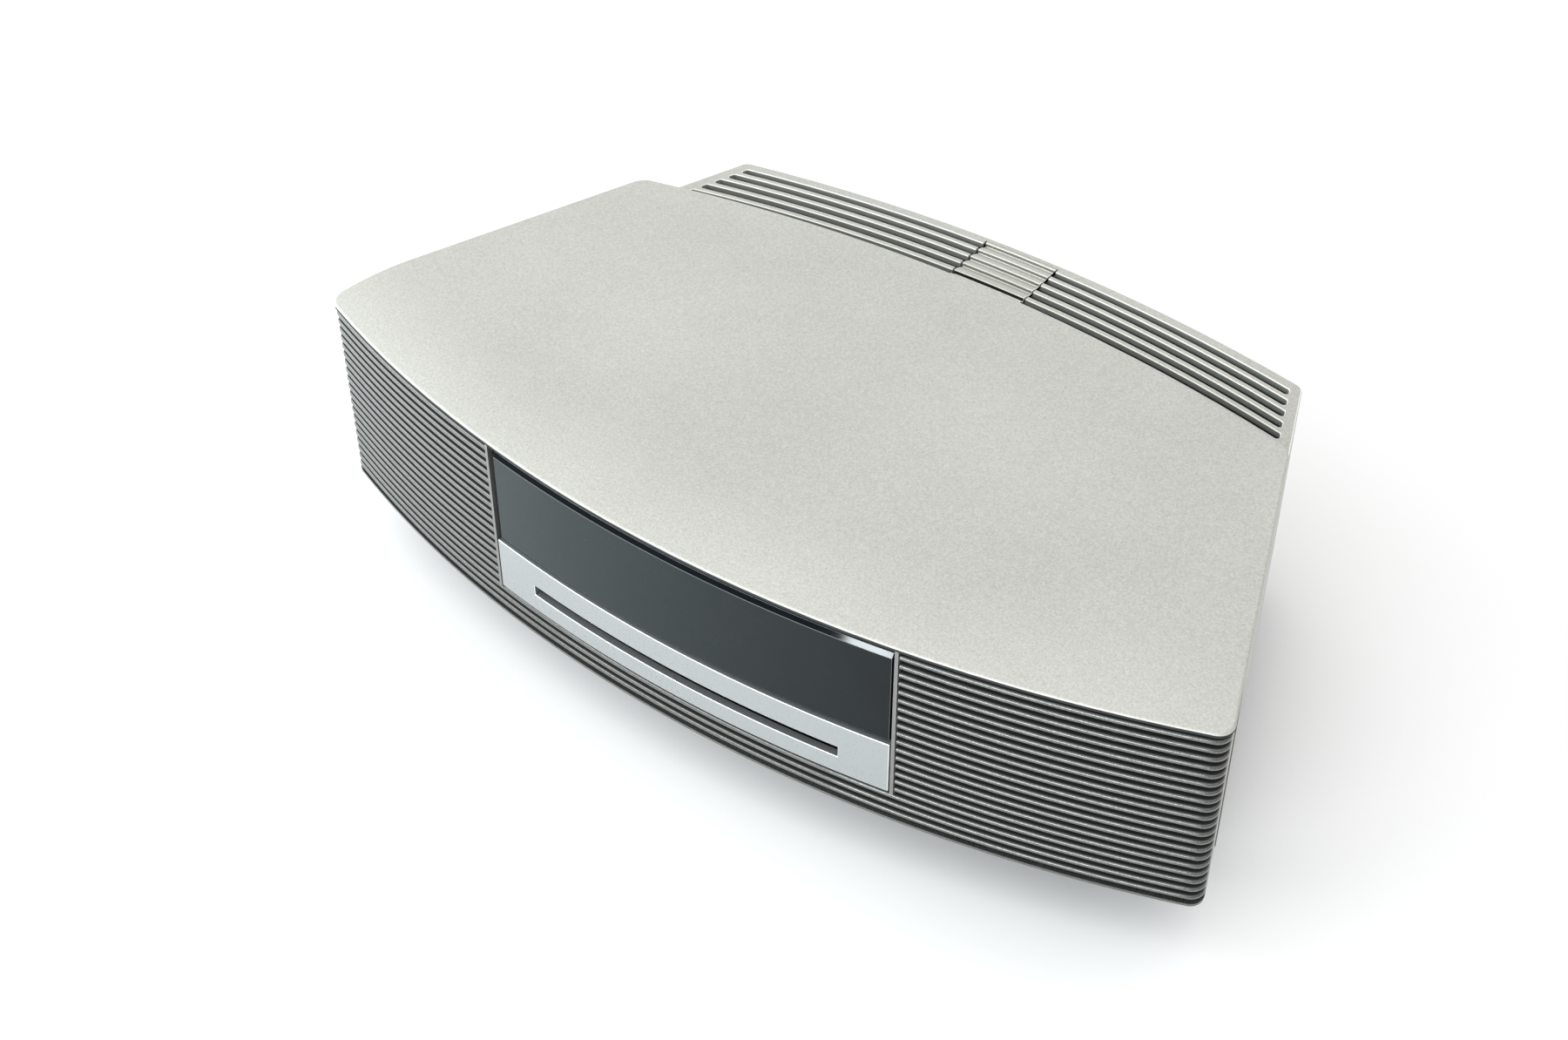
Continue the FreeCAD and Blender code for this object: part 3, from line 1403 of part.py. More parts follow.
def make_parts():
    makers = {
        "top_cover": make_top_cover, "vent_bridge": make_vent_bridge, "front_grille": make_front_grille,
        "display_bezel": make_display_bezel, "display_lens": make_display_lens,
        "slot_fascia": make_slot_fascia, "base_tray": make_base_tray, "rubber_feet": make_rubber_feet,
        "case_screws": make_case_screws, "rear_panel": make_rear_panel,
        "headphone_jack": make_headphone_jack, "line_jacks": make_line_jacks,
        "aerial_jacks": make_aerial_jacks, "link_port": make_link_port, "power_inlet": make_power_inlet,
        "inlet_pins": make_inlet_pins, "main_board": make_main_board, "power_board": make_power_board,
        "transformer": make_transformer, "heat_sink": make_heat_sink, "tuner_shield": make_tuner_shield,
        "display_board": make_display_board, "display_tube": make_display_tube,
        "remote_receiver": make_remote_receiver, "mech_chassis": make_mech_chassis,
        "dampers": make_dampers, "top_plate": make_top_plate, "clamp_puck": make_clamp_puck,
        "spindle_motor": make_spindle_motor, "turntable": make_turntable, "lift_plate": make_lift_plate,
        "guide_rods": make_guide_rods, "lead_screw": make_lead_screw, "sled_motor": make_sled_motor,
        "laser_sled": make_laser_sled, "objective_lens": make_objective_lens,
        "idler_gear": make_idler_gear, "motor_pinion": make_motor_pinion,
        "roller_gear": make_roller_gear, "roller_shaft": make_roller_shaft,
        "load_roller": make_load_roller, "roller_bracket": make_roller_bracket,
        "load_motor": make_load_motor,
    }
    sided = {
        "vent_screen": make_vent_screen, "grille_screen": make_grille_screen, "trim_bar": make_trim_bar,
        "speaker_frame": make_speaker_frame, "speaker_magnet": make_speaker_magnet,
        "speaker_cone": make_speaker_cone, "surround": make_surround, "waveguide": make_waveguide,
    }
    shapes = {name: maker() for name, maker in makers.items()}
    for name, maker in sided.items():
        for word, side in SIDES:
            shapes[name + "_" + word] = maker(side)
    return shapes


os.makedirs("parts", exist_ok=True)
for node, shape in make_parts().items():
    shape.exportStep("parts/" + node + ".step")
    print(node, len(shape.Solids), shape.isValid(), round(shape.Volume))
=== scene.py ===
import math

import bmesh
import bpy
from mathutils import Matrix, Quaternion, Vector


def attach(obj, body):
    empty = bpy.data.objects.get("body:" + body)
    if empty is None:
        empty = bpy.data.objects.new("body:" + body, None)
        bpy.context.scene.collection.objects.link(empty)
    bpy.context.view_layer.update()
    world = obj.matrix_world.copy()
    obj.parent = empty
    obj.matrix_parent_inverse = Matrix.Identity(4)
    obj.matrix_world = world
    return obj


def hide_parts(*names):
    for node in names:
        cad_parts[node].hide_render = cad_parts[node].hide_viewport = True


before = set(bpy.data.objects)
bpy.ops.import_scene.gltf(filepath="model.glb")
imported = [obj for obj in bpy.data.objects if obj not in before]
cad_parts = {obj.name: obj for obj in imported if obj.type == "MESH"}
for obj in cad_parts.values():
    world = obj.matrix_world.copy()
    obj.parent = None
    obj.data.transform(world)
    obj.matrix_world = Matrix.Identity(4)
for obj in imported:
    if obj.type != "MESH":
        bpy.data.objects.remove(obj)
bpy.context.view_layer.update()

MM = 0.001


# Camera and softboxes, placed round one target

CAMERA_AZIMUTH = 36.678
CAMERA_ELEVATION = 41.236
CAMERA_ROLL = -0.216
CAMERA_TARGET = Vector((-0.97, -43.89, 68.55)) * MM
CAMERA_DISTANCE = 811.5 * MM
CAMERA_LENS = 53.78
SENSOR_WIDTH = 36.0
CLIP_START = 0.01
DAYLIGHT = (0.91, 0.98, 1.0)


def turned(azimuth, elevation):
    """Unit way from the target towards a place round it, with azimuth 0 in front."""
    a, e = math.radians(azimuth), math.radians(elevation)
    return Vector((math.sin(a) * math.cos(e), -math.cos(a) * math.cos(e), math.sin(e)))


def aim(thing, azimuth, elevation, distance, roll=0.0):
    """Puts a camera or light round the target, looking at it."""
    way = turned(azimuth, elevation)
    thing.location = CAMERA_TARGET + way * distance
    thing.rotation_mode = "QUATERNION"
    level = (-way).to_track_quat("-Z", "Y")
    thing.rotation_quaternion = level @ Quaternion((0, 0, 1), math.radians(roll))


def add_camera():
    data = bpy.data.cameras.new("photo_camera")
    data.sensor_width = SENSOR_WIDTH
    data.lens = CAMERA_LENS
    data.clip_start = CLIP_START
    camera = bpy.data.objects.new("photo_camera", data)
    bpy.context.collection.objects.link(camera)
    aim(camera, CAMERA_AZIMUTH, CAMERA_ELEVATION, CAMERA_DISTANCE, CAMERA_ROLL)
    bpy.context.scene.camera = camera


def add_softbox(name, azimuth, elevation, distance, width, height, power):
    data = bpy.data.lights.new(name, "AREA")
    data.shape = "RECTANGLE"
    data.size = width
    data.size_y = height
    data.energy = power
    data.color = DAYLIGHT
    light = bpy.data.objects.new(name, data)
    bpy.context.collection.objects.link(light)
    aim(light, azimuth, elevation, distance)


# Shader maths

class Value:
    """A shader socket that can be used in Python sums."""

    def __init__(self, tree, socket):
        self.tree = tree
        self.socket = socket

    def math(self, operation, first, second=0.0):
        return self.tree.node("ShaderNodeMath", {"operation": operation}, {0: first, 1: second})["Value"]

    def __add__(self, other):
        return self.math("ADD", self, other)

    def __radd__(self, other):
        return self.math("ADD", other, self)

    def __sub__(self, other):
        return self.math("SUBTRACT", self, other)

    def __rsub__(self, other):
        return self.math("SUBTRACT", other, self)

    def __mul__(self, other):
        return self.math("MULTIPLY", self, other)

    def __rmul__(self, other):
        return self.math("MULTIPLY", other, self)

    def __pow__(self, other):
        return self.math("POWER", self, other)

    def larger(self, other):
        return self.math("MAXIMUM", self, other)

    def size(self):
        return self.math("ABSOLUTE", self)

    def wave(self):
        return self.math("SINE", self)


class Tree:
    """A node tree that is filled from Python."""

    def __init__(self, tree, start):
        self.tree = tree
        self.start = self.node("ShaderNodeTexCoord")[start]

    def node(self, kind, settings=None, sockets=None):
        made = self.tree.nodes.new(kind)
        for key, value in (settings or {}).items():
            setattr(made, key, value)
        for key, value in (sockets or {}).items():
            self.feed(made.inputs[key], value)
        return {socket.name: Value(self, socket) for socket in reversed(made.outputs) if socket.enabled}

    def feed(self, socket, value):
        if isinstance(value, Value):
            self.tree.links.new(value.socket, socket)
        elif isinstance(value, tuple) and socket.type == "RGBA":
            socket.default_value = (*value, 1)
        else:
            socket.default_value = value

    def parts(self):
        split = self.node("ShaderNodeSeparateXYZ", {}, {"Vector": self.start})
        return split["X"], split["Y"], split["Z"]

    def ramp(self, value, low, high):
        """0 at low and 1 at high, straight between, and held beyond. Low may be the larger number."""
        sockets = {"Value": value, "From Min": low, "From Max": high}
        return self.node("ShaderNodeMapRange", {"clamp": True}, sockets)["Result"]

    def mix(self, share, first, second):
        """First colour at share 0 and second at 1. Inputs 6 and 7 are the node's two colours."""
        sockets = {"Factor": share, 6: first, 7: second}
        return self.node("ShaderNodeMix", {"data_type": "RGBA"}, sockets)["Result"]


class Finish(Tree):
    """One material, with textures placed in the piece's own metres."""

    def __init__(self, name, constants=None):
        self.material = bpy.data.materials.new(name)
        self.material.use_nodes = True
        tree = self.material.node_tree
        tree.nodes.clear()
        self.shader = tree.nodes.new("ShaderNodeBsdfPrincipled")
        output = tree.nodes.new("ShaderNodeOutputMaterial")
        tree.links.new(self.shader.outputs["BSDF"], output.inputs["Surface"])
        super().__init__(tree, "Object")
        for socket, value in (constants or {}).items():
            self.set(socket, value)

    def set(self, socket, value):
        self.feed(self.shader.inputs[socket], value)

    def noise(self, per_metre, detail=2.0, roughness=0.5, place=None):
        sockets = {"Vector": place or self.start, "Scale": per_metre,
                   "Detail": detail, "Roughness": roughness}
        return self.node("ShaderNodeTexNoise", {}, sockets)["Fac"]

    def cells(self, per_metre):
        return self.node("ShaderNodeTexVoronoi", {}, {"Vector": self.start, "Scale": per_metre})["Distance"]

    def stretched(self, scale):
        """Place on the piece, scaled by its own factor along each axis."""
        return self.node("ShaderNodeMapping", {}, {"Vector": self.start, "Scale": scale})["Vector"]

    def bump(self, height, depth):
        return self.node("ShaderNodeBump", {}, {"Height": height, "Distance": depth})["Normal"]


# Pale room and floor

HORIZON_SINE = 0.0
ZENITH_SINE = 0.62
DIM_WAY = (0.75, -0.66)
DIM_SPAN = (-0.2, 0.75)
REAR_WAY = (-0.60, 0.80)
REAR_SPAN = (-0.1, 0.7)
HORIZON_LIGHT = (0.47, 0.50, 0.52)
REAR_LIGHT = (1.05, 1.06, 1.06)
ZENITH_LIGHT = (1.14, 1.14, 1.13)
DIM_LIGHT = (0.075, 0.08, 0.085)
FLOOR_HALF = 60.0


def add_studio():
    """Pale room, bright overhead and to the rear left. Its horizon is dimmer, dimmest to the front right."""
    world = bpy.data.worlds.new("studio")
    world.use_nodes = True
    bpy.context.scene.world = world
    room = Tree(world.node_tree, "Generated")
    x, y, z = room.parts()
    height = room.ramp(z, HORIZON_SINE, ZENITH_SINE)
    shade = room.ramp(x * DIM_WAY[0] + y * DIM_WAY[1], *DIM_SPAN) * (1 - height)
    rear = room.ramp(x * REAR_WAY[0] + y * REAR_WAY[1], *REAR_SPAN)
    level = room.mix(height, room.mix(rear, HORIZON_LIGHT, REAR_LIGHT), ZENITH_LIGHT)
    level = room.mix(shade, level, DIM_LIGHT)
    room.feed(world.node_tree.nodes["Background"].inputs["Color"], level)


def add_floor():
    mesh = bpy.data.meshes.new("studio_floor")
    corners = [(-FLOOR_HALF, -FLOOR_HALF, 0), (FLOOR_HALF, -FLOOR_HALF, 0),
               (FLOOR_HALF, FLOOR_HALF, 0), (-FLOOR_HALF, FLOOR_HALF, 0)]
    mesh.from_pydata(corners, [], [(0, 1, 2, 3)])
    floor = bpy.data.objects.new("studio_floor", mesh)
    bpy.context.collection.objects.link(floor)
    card = Finish("studio_card", {"Roughness": 0.9})
    card.set("Base Color", card.mix(card.noise(per_metre=3), (0.93, 0.93, 0.93), (0.95, 0.95, 0.95)))
    mesh.materials.append(card.material)


# Outline of the case in plan, and its levels, in millimetres

FRONT_RADIUS = 512.7
FRONT_CENTRE_Y = 404.5
CORNER_RADIUS = 5.6
CORNER_X = 178.4
CORNER_Y = FRONT_CENTRE_Y - math.sqrt((FRONT_RADIUS - CORNER_RADIUS) ** 2 - CORNER_X ** 2)
CORNER_START = math.asin(CORNER_X / (FRONT_RADIUS - CORNER_RADIUS))
SIDE_TAPER = math.radians(20.5)
CORNER_END = math.pi / 2 + SIDE_TAPER
SIDE_REACH = CORNER_X * math.cos(SIDE_TAPER) + CORNER_Y * math.sin(SIDE_TAPER) + CORNER_RADIUS
SIDE_END_Y = -48.0
REAR_RADIUS = 588.0
REAR_CENTRE_Y = -479.8
LID_REAR_RADIUS = 548.5
DECK_TOP = 96.3
LIP_FOOT = 100.5


# Where the cover's lacquer starts and ends, where painted shade lies and where the slots' rims get a painted
# highlight: depths under the deck's top, and insets from its outline

SKIN_DEPTHS = (0.35, 0.5)
SLOT_SHADE_DEPTHS = (2.7, 2.0)
RIM_FOOT_DEPTHS = (0.38, 0.3)
RIM_HEAD_DEPTHS = (0.02, 0.1)
WALL_INSETS = (0.7, 1.1)
LIP_FADE = 0.1
SIDE_FADE = 0.3
RIM_PAINTED_HIGHLIGHT = 1.9


def deck_share(paint, z, depths):
    """0 at the first depth under the deck's top and 1 at the second."""
    first, last = depths
    return paint.ramp(z, (DECK_TOP - first) * MM, (DECK_TOP - last) * MM)


def inside_circle(paint, across, along, centre, radius):
    """1 inside a circle round a centre on the along axis, and 0 in the skin at its edge."""
    square = across ** 2.0 + (along - centre * MM) ** 2.0
    skin, bare = WALL_INSETS
    return paint.ramp(square, ((radius - skin) * MM) ** 2, ((radius - bare) * MM) ** 2)


def bare_and_shade_shares(paint):
    """1 where the colour is bare and dark: below the deck's skin inside the outline, which is bare plastic
    and painted shade in the slots, and at the foot of the lid's front lip, which is painted shade.
    """
    x, y, z = paint.parts()
    skin, bare = WALL_INSETS
    side = x.size() * math.cos(SIDE_TAPER) + y * math.sin(SIDE_TAPER)
    within = inside_circle(paint, x, y, FRONT_CENTRE_Y, FRONT_RADIUS)
    within = within * inside_circle(paint, x, y, REAR_CENTRE_Y, REAR_RADIUS)
    within = within * paint.ramp(side, (SIDE_REACH - skin) * MM, (SIDE_REACH - bare) * MM)
    # Painted shade: the foot of the lid's front lip is darkened.
    foot = paint.ramp(z, (LIP_FOOT + LIP_FADE) * MM, (LIP_FOOT - LIP_FADE) * MM)
    ahead = paint.ramp(y, (SIDE_END_Y + SIDE_FADE) * MM, (SIDE_END_Y - SIDE_FADE) * MM)
    return within * deck_share(paint, z, SKIN_DEPTHS), foot * ahead


# Finishes

def shifted(colour, factor):
    """A darker or lighter form of a colour."""
    return tuple(min(1.0, channel * factor) for channel in colour)


def flakes(paint, fine_per_metre, coarse_per_metre):
    """Fine and coarse flakes of a metallic lacquer, and the slow drift of its tone."""
    fine = paint.noise(fine_per_metre, detail=1.0, roughness=0.6)
    coarse = paint.noise(coarse_per_metre, detail=2.0, roughness=0.7)
    drift = paint.noise(per_metre=12, detail=3.0, roughness=0.55)
    return fine, coarse, drift


def silver_paint(name, colour, metallic, roughness, coat=0.0, coat_roughness=0.2, speckle=0.10, peel=0.00009):
    """Metallic lacquer: coarse and fine flakes in colour and gloss, and a faint orange peel."""
    paint = Finish(name, {"Coat Weight": coat, "Coat Roughness": coat_roughness})
    fine, coarse, drift = flakes(paint, 2400, 900)
    share = paint.ramp(fine * 0.35 + coarse * 0.50 + drift * 0.15, 0.34, 0.66)
    paint.set("Base Color", paint.mix(share, shifted(colour, 1 - speckle), shifted(colour, 1 + speckle)))
    paint.set("Metallic", metallic + (coarse - 0.5) * 0.2)
    paint.set("Roughness", roughness + (fine - 0.5) * 0.16 + (drift - 0.5) * 0.06)
    paint.set("Normal", paint.bump(coarse * 0.6 + fine * 0.4, peel))
    return paint.material


def cover_lacquer(name, colour, metallic, roughness, speckle):
    """The cover's lacquer, with a painted highlight at the slots' rims. The inside is bare dark plastic with
    painted shade that deepens down the slots, and the lip's foot is painted dark as shade.
    """
    paint = Finish(name)
    fine, coarse, drift = flakes(paint, 2900, 1250)
    share = paint.ramp(fine * 0.40 + coarse * 0.45 + drift * 0.15, 0.36, 0.64)
    lacquer = paint.mix(share, shifted(colour, 1 - speckle), shifted(colour, 1 + speckle))
    within, foot = bare_and_shade_shares(paint)
    bare = within.larger(foot)
    x, y, z = paint.parts()
    # Painted shade: the bare inside runs from grey near the deck's top to near black deeper down the slots.
    slot_depth_shade = deck_share(paint, z, SLOT_SHADE_DEPTHS) * (1 - foot)
    inside = paint.mix(slot_depth_shade, (0.012, 0.013, 0.013), (0.27, 0.285, 0.265))
    # Painted highlight: a brighter band of lacquer at the slots' rims, just under the deck's top.
    rim = deck_share(paint, z, RIM_FOOT_DEPTHS) * deck_share(paint, z, RIM_HEAD_DEPTHS)
    rim = rim * (1 - inside_circle(paint, x, y, REAR_CENTRE_Y, LID_REAR_RADIUS))
    lacquer = paint.mix(rim, lacquer, shifted(colour, RIM_PAINTED_HIGHLIGHT))
    paint.set("Base Color", paint.mix(bare, lacquer, inside))
    paint.set("Metallic", (metallic + (coarse - 0.5) * 0.2) * (1 - bare))
    paint.set("Roughness", roughness + (fine - 0.5) * 0.16 + bare * 0.25)
    paint.set("Normal", paint.bump(coarse * 0.6 + fine * 0.4, depth=0.0001))
    return paint.material


def moulded_plastic(name, colour, roughness, grain_size=0.0006):
    """Spark-eroded grain with a faint change of tone."""
    plastic = Finish(name)
    grit = plastic.noise(1 / grain_size, detail=2.0, roughness=0.6)
    drift = plastic.noise(per_metre=30)
    share = drift * 0.6 + grit * 0.4
    plastic.set("Base Color", plastic.mix(share, shifted(colour, 0.88), shifted(colour, 1.15)))
    plastic.set("Roughness", roughness + (grit - 0.5) * 0.2)
    plastic.set("Normal", plastic.bump(grit, depth=0.00003))
    return plastic.material


def soft_rubber(name, colour):
    """Matt rubber with talc-like bloom."""
    rubber = Finish(name, {"Specular IOR Level": 0.3})
    bloom = rubber.noise(per_metre=140, detail=4.0, roughness=0.65)
    pores = rubber.noise(per_metre=1800)
    rubber.set("Base Color", rubber.mix(bloom, colour, shifted(colour, 2.2)))
    rubber.set("Roughness", 0.78 + bloom * 0.15)
    rubber.set("Normal", rubber.bump(pores, depth=0.00002))
    return rubber.material


def sheet_steel(name, colour, roughness=0.35, stretch=(20, 1, 20)):
    """Rolled sheet with its drawn-out grain and a mottled zinc coat."""
    steel = Finish(name, {"Metallic": 1.0})
    lines = steel.noise(per_metre=900, detail=2.0, roughness=0.6, place=steel.stretched(stretch))
    spangle = steel.cells(per_metre=260)
    share = lines * 0.5 + spangle * 0.5
    steel.set("Base Color", steel.mix(share, shifted(colour, 0.86), shifted(colour, 1.12)))
    steel.set("Roughness", roughness + (lines - 0.5) * 0.2 + spangle * 0.06)
    steel.set("Normal", steel.bump(lines, depth=0.000006))
    return steel.material


def turned_metal(name, colour, roughness):
    """Bright metal with fine rings round its axis and a trace of tarnish."""
    metal = Finish(name, {"Metallic": 1.0})
    lines = metal.noise(per_metre=1500, detail=1.0, place=metal.stretched((1, 12, 1)))
    stain = metal.noise(per_metre=90, detail=4.0, roughness=0.6)
    metal.set("Base Color", metal.mix(stain, shifted(colour, 0.8), shifted(colour, 1.08)))
    metal.set("Roughness", roughness + (lines - 0.5) * 0.12 + stain * 0.08)
    metal.set("Normal", metal.bump(lines, depth=0.000004))
    return metal.material


PHONO_HALF_SPACING = 7.0
PHONO_HEIGHT = 44.0
PHONO_MOUTH_Y = 104.0
PHONO_MOUTH_DEPTHS = (0.3, 0.1)
PHONO_INSULATOR_RADIUS = 4.4


def phono_metal(name, middle_x, left_colour, right_colour):
    """Nickel sleeves of a pair of phono sockets, with a coloured insulator in each mouth."""
    socket = Finish(name)
    x, y, z = socket.parts()
    across = (x - middle_x * MM).size() - PHONO_HALF_SPACING * MM
    deep, shallow = PHONO_MOUTH_DEPTHS
    mouth = socket.ramp(y, (PHONO_MOUTH_Y - deep) * MM, (PHONO_MOUTH_Y - shallow) * MM)
    insulator = inside_circle(socket, across, z, PHONO_HEIGHT, PHONO_INSULATOR_RADIUS) * mouth
    stain = socket.noise(per_metre=90, detail=4.0, roughness=0.6)
    nickel = socket.mix(stain, (0.52, 0.50, 0.46), (0.70, 0.68, 0.64))
    right = socket.ramp(x, (middle_x - 1.0) * MM, (middle_x + 1.0) * MM)
    nylon = socket.mix(right, left_colour, right_colour)
    socket.set("Base Color", socket.mix(insulator, nickel, nylon))
    socket.set("Metallic", 1 - insulator)
    socket.set("Roughness", 0.2 + stain * 0.1 + insulator * 0.2)
    socket.set("Normal", socket.bump(socket.noise(per_metre=1500, detail=1.0), depth=0.000004))
    return socket.material


def sintered_iron(name, colour):
    """Sintered or laminated iron with a dull varnish."""
    iron = Finish(name, {"Coat Weight": 0.25, "Coat Roughness": 0.4})
    grain = iron.noise(per_metre=700, detail=4.0, roughness=0.65)
    layers = iron.noise(per_metre=2200, detail=0.0, place=iron.stretched((1, 0.05, 0.05)))
    iron.set("Base Color", iron.mix(grain, shifted(colour, 0.7), shifted(colour, 1.5)))
    iron.set("Roughness", 0.5 + (grain - 0.5) * 0.25)
    iron.set("Normal", iron.bump(grain * 0.5 + layers * 0.5, depth=0.00004))
    return iron.material


def smoked_window():
    """Dark tinted window, polished, with a painted reflection that makes it paler towards the left, and
    scattered dust in its gloss.
    """
    window = Finish("smoked_window", {"IOR": 1.29})
    haze = window.noise(per_metre=40, detail=4.0, roughness=0.6)
    dust = window.ramp(window.noise(per_metre=1500, detail=1.0), 0.70, 0.78)
    x = window.parts()[0]
    # Painted reflection: the pane's colour grows paler towards its left end, mixed with a little haze.
    paler = window.ramp(x, LENS_HALF * MM, -LENS_HALF * MM) * 0.85 + haze * 0.15
    window.set("Base Color", window.mix(paler, (0.002, 0.004, 0.005), (0.020, 0.029, 0.031)))
    window.set("Roughness", 0.05 + haze * 0.05 + dust * 0.25)
    window.set("Normal", window.bump(haze, depth=0.000012))
    return window.material


def gloss_black():
    """Smooth black surround behind the window."""
    black = Finish("gloss_black", {"IOR": 1.2})
    haze = black.noise(per_metre=60, detail=3.0)
    black.set("Base Color", black.mix(haze, (0.002, 0.002, 0.003), (0.006, 0.006, 0.008)))
    black.set("Roughness", 0.2 + haze * 0.1)
    black.set("Normal", black.bump(black.noise(per_metre=700), depth=0.000004))
    return black.material


def polished_edge():
    """Ground and polished top bevel of the window."""
    edge = Finish("polished_edge", {"IOR": 1.3})
    haze = edge.noise(per_metre=90, detail=3.0)
    edge.set("Base Color", edge.mix(haze, (0.002, 0.003, 0.004), (0.004, 0.006, 0.008)))
    edge.set("Roughness", 0.04 + haze * 0.05)
    edge.set("Normal", edge.bump(edge.noise(per_metre=25, detail=1.0), depth=0.000003))
    return edge.material


THREAD_PITCH = 0.0007


def acoustic_cloth():
    """Dark open weave of crossed threads."""
    cloth = Finish("acoustic_cloth", {"Roughness": 0.95, "Specular IOR Level": 0.2})
    x, y, z = cloth.parts()
    threads = 2 * math.pi / THREAD_PITCH
    warp = (z * threads).wave() * 0.5 + 0.5
    weft = ((x + y) * threads).wave() * 0.5 + 0.5
    weave = warp * weft
    share = weave * 0.7 + cloth.noise(per_metre=80) * 0.3
    cloth.set("Base Color", cloth.mix(share, (0.003, 0.003, 0.003), (0.016, 0.015, 0.014)))
    cloth.set("Normal", cloth.bump(weave, depth=0.0001))
    return cloth.material


def circuit_board():
    """Green solder mask over faint copper tracks, with tinned pads."""
    board = Finish("circuit_board", {"Coat Weight": 0.3, "Coat Roughness": 0.2})
    runs = board.noise(per_metre=260, detail=1.0, roughness=0.3, place=board.stretched((1, 0.12, 1)))
    tracks = board.ramp(runs, 0.50, 0.54)
    pads = board.ramp(board.cells(per_metre=420), 0.20, 0.16)
    green = board.mix(tracks, (0.010, 0.085, 0.035), (0.018, 0.15, 0.06))
    board.set("Base Color", board.mix(pads * 0.8, green, (0.55, 0.55, 0.53)))
    board.set("Metallic", pads * 0.8)
    board.set("Roughness", 0.35 + board.noise(per_metre=500) * 0.1)
    board.set("Normal", board.bump(tracks * 0.5 + pads * 0.5, depth=0.00003))
    return board.material


def cone_paper():
    """Pressed paper pulp."""
    paper = Finish("cone_paper", {"Specular IOR Level": 0.25})
    pulp = paper.noise(per_metre=600, detail=5.0, roughness=0.7)
    paper.set("Base Color", paper.mix(pulp, (0.018, 0.018, 0.018), (0.05, 0.05, 0.048)))
    paper.set("Roughness", 0.7 + pulp * 0.2)
    paper.set("Normal", paper.bump(pulp, depth=0.00008))
    return paper.material


def coated_glass(name, colour, roughness):
    """Tinted glass under a clear coat, with a faint haze."""
    glass = Finish(name, {"IOR": 1.5, "Coat Weight": 0.5, "Coat Roughness": 0.03})
    haze = glass.noise(per_metre=120, detail=3.0)
    glass.set("Base Color", glass.mix(haze, shifted(colour, 0.85), shifted(colour, 1.15)))
    glass.set("Roughness", roughness + haze * 0.04)
    return glass.material


# Curves in plan, in millimetres

FRONT_STEPS = 72
CORNER_STEPS = 14


def spaced(first, last, steps):
    return [first + (last - first) * k / steps for k in range(steps + 1)]


def front_arc(inset, first_x, last_x, steps):
    """Plan points of the curved front at an inset, between two values of x."""
    radius = FRONT_RADIUS - inset
    angles = spaced(math.asin(first_x / radius), math.asin(last_x / radius), steps)
    return [(radius * math.sin(a), FRONT_CENTRE_Y - radius * math.cos(a)) for a in angles]


def rear_arc(radius, half, steps):
    """Plan points of an arc of the curved rear, over half a width to each side."""
    reach = math.asin(half / radius)
    angles = spaced(-reach, reach, steps)
    return [(radius * math.sin(a), REAR_CENTRE_Y + radius * math.cos(a)) for a in angles]


def round_side(inset, first_x):
    """Plan points from a place on the front, round the right corner and back along the side."""
    points = front_arc(inset, first_x, (FRONT_RADIUS - inset) * math.sin(CORNER_START), FRONT_STEPS)
    radius = CORNER_RADIUS - inset
    for angle in spaced(CORNER_START, CORNER_END, CORNER_STEPS)[1:]:
        points.append((CORNER_X + radius * math.sin(angle), CORNER_Y - radius * math.cos(angle)))
    x, y = points[-1]
    reach = (SIDE_END_Y - y) / math.cos(SIDE_TAPER)
    points.append((x - reach * math.sin(SIDE_TAPER), y + reach * math.cos(SIDE_TAPER)))
    return points


def flipped(points):
    return [(-x, y) for x, y in reversed(points)]


# Routes give the plan points for an inset from the outline

def front_route(first_x, last_x, steps):
    return lambda inset: front_arc(inset, first_x, last_x, steps)


def side_route(first_x):
    return lambda inset: round_side(inset, first_x)


def mirrored_route(route):
    return lambda inset: flipped(route(inset))


def whole_route(inset):
    right = round_side(inset, 0.0)
    return flipped(right) + right[1:]


def box_section(insets, heights):
    (near, far), (low, high) = insets, heights
    return [(near, low), (near, high), (far, high), (far, low)]


# Meshes

SAME_POINT = 1e-7
EDGE_STEPS = 3


